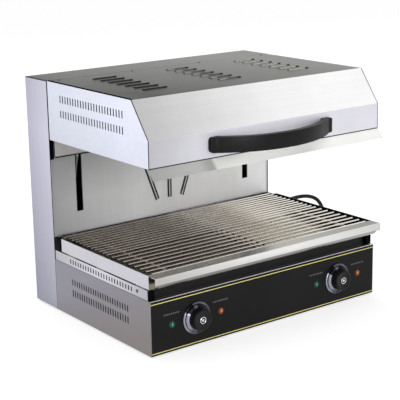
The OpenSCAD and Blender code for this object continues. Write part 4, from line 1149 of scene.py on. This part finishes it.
class MELTER_OT_base(bpy.types.Operator):
    """Finish the base: its sides, runners, deck, floor plate and feet"""

    bl_idname = "melter.base"
    bl_label = "Base"

    def execute(self, context):
        edge = context.scene.melter_steel.edge
        for node, finish in (
                ("floor_plate", "zinc_sheet"), ("tray_glides", "nylon"),
                ("deck_plate", "black_enamel"), ("thermostat_left", "ceramic_white"),
                ("thermostat_right", "ceramic_white"), ("terminal_block", "ceramic_white")):
            repaint(node, finish)
        for side in ("left", "right"):
            edged("base_side_" + side, "base_steel", "cabinet", edge)
            edged("tray_runner_" + side, "hood_steel", "cabinet", edge, paint="band_steel")
        edged("front_panel", "bright_sheet", "cabinet", edge, paint="edge_steel")
        self.brackets()
        feet = merged_copy("feet")
        rounded(feet, [e for e in sharp_edges(feet, 60) if e.verts[0].co.z < 0.001
                       and e.verts[1].co.z < 0.001], 0.0008, 3)
        placed("rubber_feet", feet, "cabinet", "black_rubber", ["feet"])
        screws, washers, shades = bmesh.new(), bmesh.new(), bmesh.new()
        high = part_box("tray_runner_right")[1]
        for side in (-1, 1):
            axis = "X" if side > 0 else "-X"
            spot = Vector((side * high[0], BAND_SCREW_Y, (DECK_TOP + high[2]) / 2))
            cross_screw(screws, spot, axis, 0.5)
            turned(washers, [(0.0, 0.0), (0.0036, 0.0), (0.0036, 0.0004), (0.0, 0.0004)],
                   spot + Vector((0, 0, 0.0006)), axis, 24)
            # dark strips along each band: painted shadow
            box_of(shades, (side * BAND_X - 0.0002, BAND_FRONT, DECK_TOP + 0.0012),
                   (side * BAND_X + 0.0002, BAND_REAR, high[2] - 0.0020))
        placed("screw_washers", washers, "cabinet", "black_rubber")
        placed("band_shades", shades, "cabinet", "black_enamel", paint="soot_black")
        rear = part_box("rear_cover")
        for side in (-1, 1):
            for z in COVER_SCREW_Z:
                cross_screw(screws, (side * COVER_SCREW_X, rear[1][1], z), "Y")
        placed("cross_screws", screws, "cabinet", "screw_steel", ["cabinet_screws"])
        return {"FINISHED"}

    def brackets(self):
        """the black stops behind the tray's sides, and the runners' front guides"""
        stops, guides = bmesh.new(), bmesh.new()
        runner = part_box("tray_runner_right")
        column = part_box("column_side_right")[0][1]
        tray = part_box("drip_tray")
        for side in (-1, 1):
            x = sorted(side * end for end in STOP_X)
            stop = box_of(stops, (x[0], TRAY_SIDE_END + 0.0020, runner[1][2] + 0.0002),
                          (x[1], column - 0.0006, tray[1][2] - 0.0030))
            rounded(stops, edges_of(stop), 0.0008)
            x = sorted((side * (runner[1][0] - 0.0006), side * (runner[0][0] + 0.0010)))
            front = runner[0][1] - 0.0030
            low, high = DECK_TOP + 0.0012, runner[1][2] - 0.0010
            guide = box_of(guides, (x[0], front, low), (x[1], front + 0.0028, high))
            faces = [f for f in {f for v in guide for f in v.link_faces}
                     if abs(f.normal.y) > 0.9]
            bmesh.ops.inset_individual(guides, faces=faces, thickness=0.0010,
                                       use_even_offset=True)
            bmesh.ops.translate(
                guides, vec=(0, 0.0020, 0),
                verts=list({v for f in faces if f.normal.y < 0 for v in f.verts}))
        placed("tray_stops", stops, "cabinet", "black_enamel", paint="soot_black")
        placed("runner_guides", guides, "cabinet", "black_enamel", paint="soot_black")


class MELTER_OT_column(bpy.types.Operator):
    """Finish the rear column and what it holds"""

    bl_idname = "melter.column"
    bl_label = "Column"

    def execute(self, context):
        edge = context.scene.melter_steel.edge
        for node, finish in (
                ("guide_rods", "ground_rod"), ("rod_blocks", "cast_grey"),
                ("pulley_beam", "zinc_sheet"), ("rope_wraps", "rope_steel"),
                ("pulley_left", "zinc_sheet"), ("pulley_right", "zinc_sheet")):
            repaint(node, finish)
        for side in ("left", "right"):
            edged("column_side_" + side, "column_steel", "cabinet", edge)
        edged("column_front_panel", "column_steel", "cabinet", edge, paint="panel_steel")
        edged("rear_cover", "column_steel", "cabinet", edge)
        edged("column_cap", "top_steel", "cabinet", edge)
        weight = merged_copy("counterweight")
        rounded(weight, sharp_edges(weight, 60), 0.0025, 3)
        placed("cast_weight", weight, "counterweight", "cast_grey", ["counterweight"])
        self.rear_louvres()
        self.screens()
        self.column_seam_shadows()
        self.fan_ribs()
        self.ropes()
        return {"FINISHED"}

    def rear_louvres(self):
        """pressed hoods over the rear cover's slots, open below"""
        shape = bmesh.new()
        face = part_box("rear_cover")[1][1] - 0.0002
        half, rim, out = 0.045, 0.0012, 0.0028
        front, skin = out - 0.0004, out - 0.0008
        for column in (-1, 0, 1):
            for row in range(REAR_ROWS):
                low = REAR_SLOT_Z + row * REAR_SLOT_PITCH
                high = low + REAR_SLOT_H
                cowl = ((0, high + 0.0020), (out, low + 0.0012), (out, low - 0.0004),
                        (skin, low - 0.0004), (skin, low + 0.0008), (0, high + 0.0008))
                cheek = ((0, high + 0.0012), (front, low + 0.0010), (front, low - 0.0002),
                         (0, low - 0.0002))
                start = column * REAR_SLOT_X - half - rim
                end = column * REAR_SLOT_X + half
                for x, outline, wide in ((start, cowl, 2 * (half + rim)),
                                         (start, cheek, rim), (end, cheek, rim)):
                    prism(shape, [(x, face + y, z) for y, z in outline], (wide, 0, 0))
        placed("rear_louvres", shape, "cabinet", "column_steel")

    def screens(self):
        """a black fly screen inside the rear cover, over each column of slots"""
        shape = bmesh.new()
        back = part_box("rear_cover")[0][1]
        low = REAR_SLOT_Z - SCREEN_BELOW
        high = REAR_SLOT_Z + (REAR_ROWS - 1) * REAR_SLOT_PITCH + SCREEN_ABOVE
        for column in (-1, 0, 1):
            x = column * REAR_SLOT_X
            screen = box_of(shape, (x - SCREEN_HALF, back - 0.0009, low),
                            (x + SCREEN_HALF, back - 0.0001, high))
            rounded(shape, [e for e in edges_of(screen)
                            if abs((e.verts[0].co - e.verts[1].co).y) > 0.0005], 0.004, 4)
        placed("slot_screens", shape, "cabinet", "black_enamel", paint="black_mesh")

    def column_seam_shadows(self):
        """black strips of painted shadow in the seam between the column and the hood, at the
        left
        """
        shape = bmesh.new()
        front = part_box("column_side_right")[0][1]
        skirt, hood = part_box("rear_skirt"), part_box("hood_side_right")
        for inner, low, high in ((0.2976, skirt[0][2] - 0.002, hood[1][2] - 0.0006),
                                 (0.2915, skirt[0][2] - 0.0022, hood[0][2] + 0.004)):
            box_of(shape, (-SEAM_X, hood[1][1] + 0.0008, low), (-inner, front, high))
        placed("column_seam_shadow_strips", shape, "cabinet", "black_enamel", paint="soot_black")

    def fan_ribs(self):
        """the pressed ribs between the slots of the fan, and black strips of painted shade
        along the slots' edges
        """
        shape, edges = bmesh.new(), bmesh.new()
        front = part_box("column_front_panel")[0][1]
        for lean in (-1, 0, 1):
            before = set(shape.verts)
            rib = box_of(shape, (-FAN_WEB / 2, -0.0014, 0.001),
                         (FAN_WEB / 2, 0.0002, FAN_HEIGHT - 0.001))
            rounded(shape, [e for e in edges_of(rib)
                            if max(v.co.y for v in e.verts) < 0], 0.0010, 3)
            spot = (Matrix.Translation((FAN_X + lean * FAN_STEP, front, FAN_Z))
                    @ Matrix.Rotation(math.radians(lean * FAN_TILT), 4, "Y"))
            bmesh.ops.transform(shape, verts=[v for v in shape.verts if v not in before],
                                matrix=spot)
            # black strips of painted shade along both edges of each slot
            for side in (-1, 1):
                for edge in (FAN_WEB / 2 - 0.0003, FAN_WEB / 2 + FAN_SLOT + 0.0003):
                    strip = box_of(edges, (side * edge - 0.0004, -0.0016, 0.0),
                                   (side * edge + 0.0004, 0.0002, FAN_HEIGHT))
                    bmesh.ops.transform(edges, verts=strip, matrix=spot)
        placed("fan_ribs", shape, "cabinet", "column_steel", paint="panel_steel")
        placed("fan_slot_shadows", edges, "cabinet", "black_enamel", paint="soot_black")

    def ropes(self):
        """the wire ropes between the pulleys and what they carry"""
        for node, body in (("lift_ropes", "hood"), ("weight_ropes", "counterweight")):
            low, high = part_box(node)
            shape = bmesh.new()
            radius = (high[1] - low[1]) / 2
            for side in (-1, 1):
                tube_of(shape, radius, high[2] - low[2],
                        (side * (high[0] - radius), low[1] + radius, low[2]), "Z", 12)
            piece = placed("wire_" + node, shape, None, "rope_steel", [node])
            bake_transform(piece)


class MELTER_OT_hood(bpy.types.Operator):
    """Finish the hood's sheet metal, its heating and its lift gear"""

    bl_idname = "melter.hood"
    bl_label = "Hood"

    def execute(self, context):
        steel = context.scene.melter_steel
        for node, finish in (
                ("hood_top_cover", "top_steel"), ("reflector_pan", "bright_sheet"),
                ("insulation_slab", "mineral_wool"),
                ("heating_element_left", "element_tube"),
                ("heating_element_right", "element_tube"),
                ("element_hangers", "zinc_sheet"), ("handle_screws", "screw_steel"),
                ("lift_arm_left", "zinc_sheet"),
                ("lift_arm_right", "zinc_sheet"), ("lift_carriage", "zinc_sheet"),
                ("guide_bushes", "bronze")):
            repaint(node, finish)
        for side in ("left", "right"):
            edged("hood_side_" + side, "hood_steel", "hood", steel.edge)
        edged("hood_front_panel", "hood_steel", "hood", steel.edge, steel.fold,
              paint="face_steel")
        edged("front_lip", "hood_steel", "hood", steel.edge, paint="lip_steel")
        edged("rear_skirt", "column_steel", "hood", steel.edge, paint="skirt_steel")
        self.handle(context.scene.melter_trim)
        screws = bmesh.new()
        low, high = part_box("hood_screws")
        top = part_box("column_cap")[1][2]
        for step in (-1, -1 / 3, 1 / 3, 1):
            cross_screw(screws, (step * (high[0] - 0.0021), (low[1] + high[1]) / 2, top),
                        "Z", 0.6)
        placed("top_screws", screws, "hood", "screw_steel", ["hood_screws"],
               paint="dark_screw")
        self.hood_seam_shadows()
        self.louvre_backs(top)
        return {"FINISHED"}

    def hood_seam_shadows(self):
        """black strips of painted shadow in the seam gaps between the left side plate, the
        front and the cover
        """
        shape = bmesh.new()
        panel, side_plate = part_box("hood_front_panel"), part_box("hood_side_right")
        front, foot = panel[0][1] + 0.0005, panel[0][2] + 0.0005
        back, top = panel[1][1], panel[1][2] - 0.0005
        rear, deep = side_plate[1][1] - 0.0005, 0.003
        profile = [(front, foot), (front, SLOPE_FOOT - 0.0002), (back + 0.0003, top),
                   (rear, top), (rear, top - deep), (back + 0.0017, top - deep),
                   (front + deep, SLOPE_FOOT - 0.0011), (front + deep, foot)]
        inner, outer = panel[1][0] + 0.0001, side_plate[0][0] - 0.0001
        prism(shape, [(-inner, y, z) for y, z in profile], (inner - outer, 0, 0))
        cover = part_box("hood_top_cover")
        end = -cover[1][0]
        box_of(shape, (end - 0.0007, cover[0][1] + 0.0004, side_plate[1][2] - 0.0003),
               (end + 0.0001, rear, cover[1][2] - 0.0003))
        placed("hood_seam_shadow_strips", shape, "hood", "black_rubber", paint="soot_black")

    def louvre_backs(self, top):
        """the turned-down backs of the louvres: low at the left, and closed in the middle
        and right groups but for their right ends; their paint is painted shade and
        reflection"""
        shape = bmesh.new()
        for group, rise in ((-1, 0.0010), (0, 0.00195), (1, 0.00195)):
            for step in range(LOUVRES):
                x = group * LOUVRE_X
                y = LOUVRE_Y + step * LOUVRE_PITCH - 0.0045
                box_of(shape, (x - 0.0268, y + 0.0004, top - 0.0006),
                       (x + 0.0185, y + 0.0008, top + rise))
        placed("louvre_backs", shape, "hood", "top_steel", paint="louvre_steel")

    def handle(self, trim):
        """the bowed handle between its two end blocks"""
        low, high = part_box("handle")
        half, bow = high[0], high[1] - low[1]
        reach = (half * half + bow * bow) / (2 * bow)
        middle = (0.0, high[1] + reach - bow)
        inner = reach - trim.handle_thick
        block, corner, back = trim.handle_block, 0.005, high[1]
        block_in = half - 0.026
        outer_turn = math.degrees(math.acos((reach - bow + block) / reach))
        inner_turn = math.degrees(math.asin(block_in / inner))
        plan = [(half, back)]
        plan += arc((half - corner, back - block + corner), corner, 0, -90, 5)
        plan += arc(middle, reach, -90 + outer_turn, -90 - outer_turn, 48)
        plan += arc((corner - half, back - block + corner), corner, -90, -180, 5)
        plan += [(-half, back), (-block_in, back)]
        plan += arc(middle, inner, -90 - inner_turn, -90 + inner_turn, 44)
        plan += [(block_in, back)]
        shape = bmesh.new()
        prism(shape, [(x, y, low[2]) for x, y in plan], (0, 0, high[2] - low[2]))
        bmesh.ops.recalc_face_normals(shape, faces=shape.faces)
        turn = 0.008
        for side in (-1, 1):
            for up in (-1, 1):
                for angle in (15, 30, 45, 60, 75):
                    way = Vector((side * math.cos(math.radians(angle)), 0,
                                  up * math.sin(math.radians(angle))))
                    spot = Vector((side * (half - turn), 0,
                                   (high[2] - turn) if up > 0 else (low[2] + turn)))
                    made = bmesh.ops.bisect_plane(
                        shape, geom=shape.verts[:] + shape.edges[:] + shape.faces[:],
                        plane_co=spot + way * turn, plane_no=way, clear_outer=True)
                    rim = [g for g in made["geom_cut"] if isinstance(g, bmesh.types.BMEdge)]
                    bmesh.ops.contextual_create(shape, geom=rim)
        rounded(shape, [e for e in sharp_edges(shape, 50)
                        if max(v.co.y for v in e.verts) < back - 1e-5
                        and abs((e.verts[0].co - e.verts[1].co).z) < 0.5 * e.calc_length()
                        + 0.001], trim.handle_edge, 4)
        placed("bow_handle", shape, "hood", "handle_black", ["handle"], 40)


class MELTER_OT_tray(bpy.types.Operator):
    """Finish the drip tray and the wire grate"""

    bl_idname = "melter.tray"
    bl_label = "Tray and grate"

    def execute(self, context):
        repaint("grate_rests", "bright_sheet")
        repaint("wire_grate", "grate_wire")
        edged("drip_tray", "tray_steel", "tray", context.scene.melter_steel.edge)
        return {"FINISHED"}


def glint(at, x, z):
    """the painted reflection on a ring round a middle at a point: 1 bright, 0 black"""
    angle = math.degrees(math.atan2(at.z - z, at.x - x)) % 360
    for start, end, value in GLINTS:
        if start <= angle < end:
            return value
    return GLINT_ELSEWHERE


class MELTER_OT_controls(bpy.types.Operator):
    """Finish the fascia, the knobs, their rings and the lamps"""

    bl_idname = "melter.controls"
    bl_label = "Controls"

    def execute(self, context):
        repaint("fascia_stripes", "gold_line")
        edged("fascia", "fascia_black", "cabinet", 0.0002)
        self.rings()
        for side in ("left", "right"):
            self.knob(side)
        self.lamps("power_lamps", "green_lens")
        self.lamps("heat_lamps", "orange_lens")
        self.ticks()
        return {"FINISHED"}

    def marked(self, piece, name, value):
        """writes a value at each point of a piece"""
        layer = piece.data.attributes.new(name, "FLOAT", "POINT")
        layer.data.foreach_set("value", [value(v.co) for v in piece.data.vertices])

    def rings(self):
        """the chrome rings round the knobs"""
        low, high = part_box("knob_rings")
        outer, thick = (high[2] - low[2]) / 2, high[1] - low[1]
        middle_z = (high[2] + low[2]) / 2
        shape = bmesh.new()
        for side in (-1, 1):
            turned(shape, [(outer - 0.0065, 0.0), (outer, 0.0)]
                   + arc((outer - 0.00325, 0.0014), 0.00325, 0, 180, 9, thick - 0.0014)
                   + [(outer - 0.0065, 0.0)],
                   (side * (high[0] - outer), high[1], middle_z), "-Y", 96)
        piece = placed("chrome_rings", shape, "cabinet", "chrome_ring", ["knob_rings"], 50)
        # a painted reflection on each ring, by angle round its middle
        self.marked(piece, "glint", lambda at: glint(
            at, math.copysign(high[0] - outer, at.x), middle_z))

    def knob(self, side):
        """a knob in a chrome dish, with a smooth grip, a pointer rib and a plain ring"""
        node = "knob_" + side
        low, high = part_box(node)
        x, _, z = middle_of(node)
        back, depth = high[1], high[1] - low[1]
        shape = bmesh.new()
        outline = [(0.0, 0.0), (0.0228, 0.0), (0.0228, 0.0060), (0.0218, depth - 0.0032),
                   (0.0214, depth - 0.0015), (0.0204, depth - 0.0004), (0.0192, depth),
                   (0.0180, depth - 0.0001), (0.0172, depth - 0.0006), (0.0, depth - 0.0009)]
        turned(shape, outline, (x, back, z), "-Y", 72)
        skirt = bmesh.new()
        turned(skirt, [(0.0226, 0.0), (0.0262, 0.0), (0.0262, 0.0010), (0.0284, 0.0020),
                       (0.0284, 0.0023), (0.0226, 0.0045), (0.0226, 0.0)],
               (x, back, z), "-Y", 96)
        skirt = placed("skirt_" + side, skirt, node, "chrome_ring")
        # a painted reflection on the dish: a bright crescent on its left half, black on its
        # right
        self.marked(skirt, "glint", lambda at: glint(at, x, z) if at.x < x else 0.0)
        pointer = box_of(shape, (x - 0.0012, low[1] + 0.0006, z + 0.0150),
                         (x + 0.0012, back - 0.0040, z + 0.0236))
        rounded(shape, edges_of(pointer), 0.0005)
        placed("grip_" + side, shape, node, "knob_black", [node], 40)
        badge = bmesh.new()
        face = (x, low[1] + 0.0010, z)
        turned(badge, [(0.0056, 0.0), (0.0056, 0.0005), (0.0064, 0.0009), (0.0072, 0.0005),
                       (0.0072, 0.0), (0.0056, 0.0)], face, "-Y", 40)
        turned(badge, [(0.0, 0.0008), (0.0020, 0.0007), (0.0028, 0.0003), (0.0028, 0.0),
                       (0.0, 0.0)], face, "-Y", 24)
        placed("mark_" + side, badge, node, "chrome_ring", paint="plated")

    def lamps(self, node, finish):
        """domed lenses, each on its body behind the fascia"""
        low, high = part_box(node)
        front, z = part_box("fascia_stripes")[1][1], (low[2] + high[2]) / 2
        radius, dome = (high[2] - low[2]) / 2, front - low[1]
        places = (low[0] + radius, high[0] - radius)
        shape = bmesh.new()
        for x in places:
            turned(shape, [(0.0, front - high[1]), (0.0058, front - high[1]), (0.0058, 0.0),
                           (radius, 0.0), (radius, 0.0009), (radius - 0.0004, 0.0015)]
                   + arc((0.0, 0.0015), radius * 0.86, 0, 75, 5, dome - 0.0015)
                   + [(0.0, dome)], (x, front, z), "-Y", 40)
        piece = placed(node[:-1] + "_lenses", shape, "cabinet", finish, [node], 40)

        def core(at):
            """painted light: 1 in the middle of a lens, falling towards its rim"""
            x = min(places, key=lambda p: abs(p - at.x))
            return 1 - (abs(at.x - x) * 1.25 + abs(at.z - z) * 0.8) / radius

        self.marked(piece, "core", core)

    def ticks(self):
        """a row of plain ticks over each lamp"""
        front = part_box("fascia_stripes")[1][1]
        shape = bmesh.new()
        for knob in (-KNOB_X, KNOB_X):
            for lamp in (-LAMP_X, LAMP_X):
                for step in range(-4, 5):
                    x = knob + lamp + step * TICK_PITCH
                    box_of(shape, (x - 0.0011, front - 0.0001, TICK_Z),
                           (x + 0.0011, front + 0.0002, TICK_Z + 0.0032))
        placed("lamp_ticks", shape, "cabinet", "fascia_black", paint="pale_print")


# ------------------------------------------------------------------ panel and start


class MELTER_PT_pieces(bpy.types.Panel):
    """The melter's pieces, in the 3D view's sidebar"""

    bl_label = "Cheese melter"
    bl_idname = "MELTER_PT_pieces"
    bl_space_type = "VIEW_3D"
    bl_region_type = "UI"
    bl_category = "Melter"

    def draw(self, context):
        layout = self.layout
        for operator in OPERATORS:
            layout.operator(operator.bl_idname)
        for group, _ in GROUPS:
            holder = getattr(context.scene, group)
            box = layout.box()
            for name in holder.bl_rna.properties.keys():
                if name not in ("rna_type", "name"):
                    box.prop(holder, name)


GROUPS = (("melter_studio", MelterStudio), ("melter_steel", MelterSteel),
          ("melter_trim", MelterTrim), ("melter_lead", MelterLead))
OPERATORS = (MELTER_OT_studio, MELTER_OT_lead, MELTER_OT_base, MELTER_OT_column,
             MELTER_OT_hood, MELTER_OT_tray, MELTER_OT_controls)


def register():
    """adds the settings, the operators and the panel"""
    for name, group in GROUPS:
        bpy.utils.register_class(group)
        setattr(bpy.types.Scene, name, PointerProperty(type=group))
    for operator in OPERATORS:
        bpy.utils.register_class(operator)
    bpy.utils.register_class(MELTER_PT_pieces)


def unregister():
    """takes them away again"""
    bpy.utils.unregister_class(MELTER_PT_pieces)
    for operator in reversed(OPERATORS):
        bpy.utils.unregister_class(operator)
    for name, group in reversed(GROUPS):
        delattr(bpy.types.Scene, name)
        bpy.utils.unregister_class(group)


def main():
    """dresses the melter"""
    register()
    make_finishes(bpy.context.scene)
    bpy.ops.melter.studio()
    bpy.ops.melter.lead()
    bpy.ops.melter.base()
    bpy.ops.melter.column()
    bpy.ops.melter.hood()
    bpy.ops.melter.tray()
    bpy.ops.melter.controls()


if __name__ == "__main__":
    main()
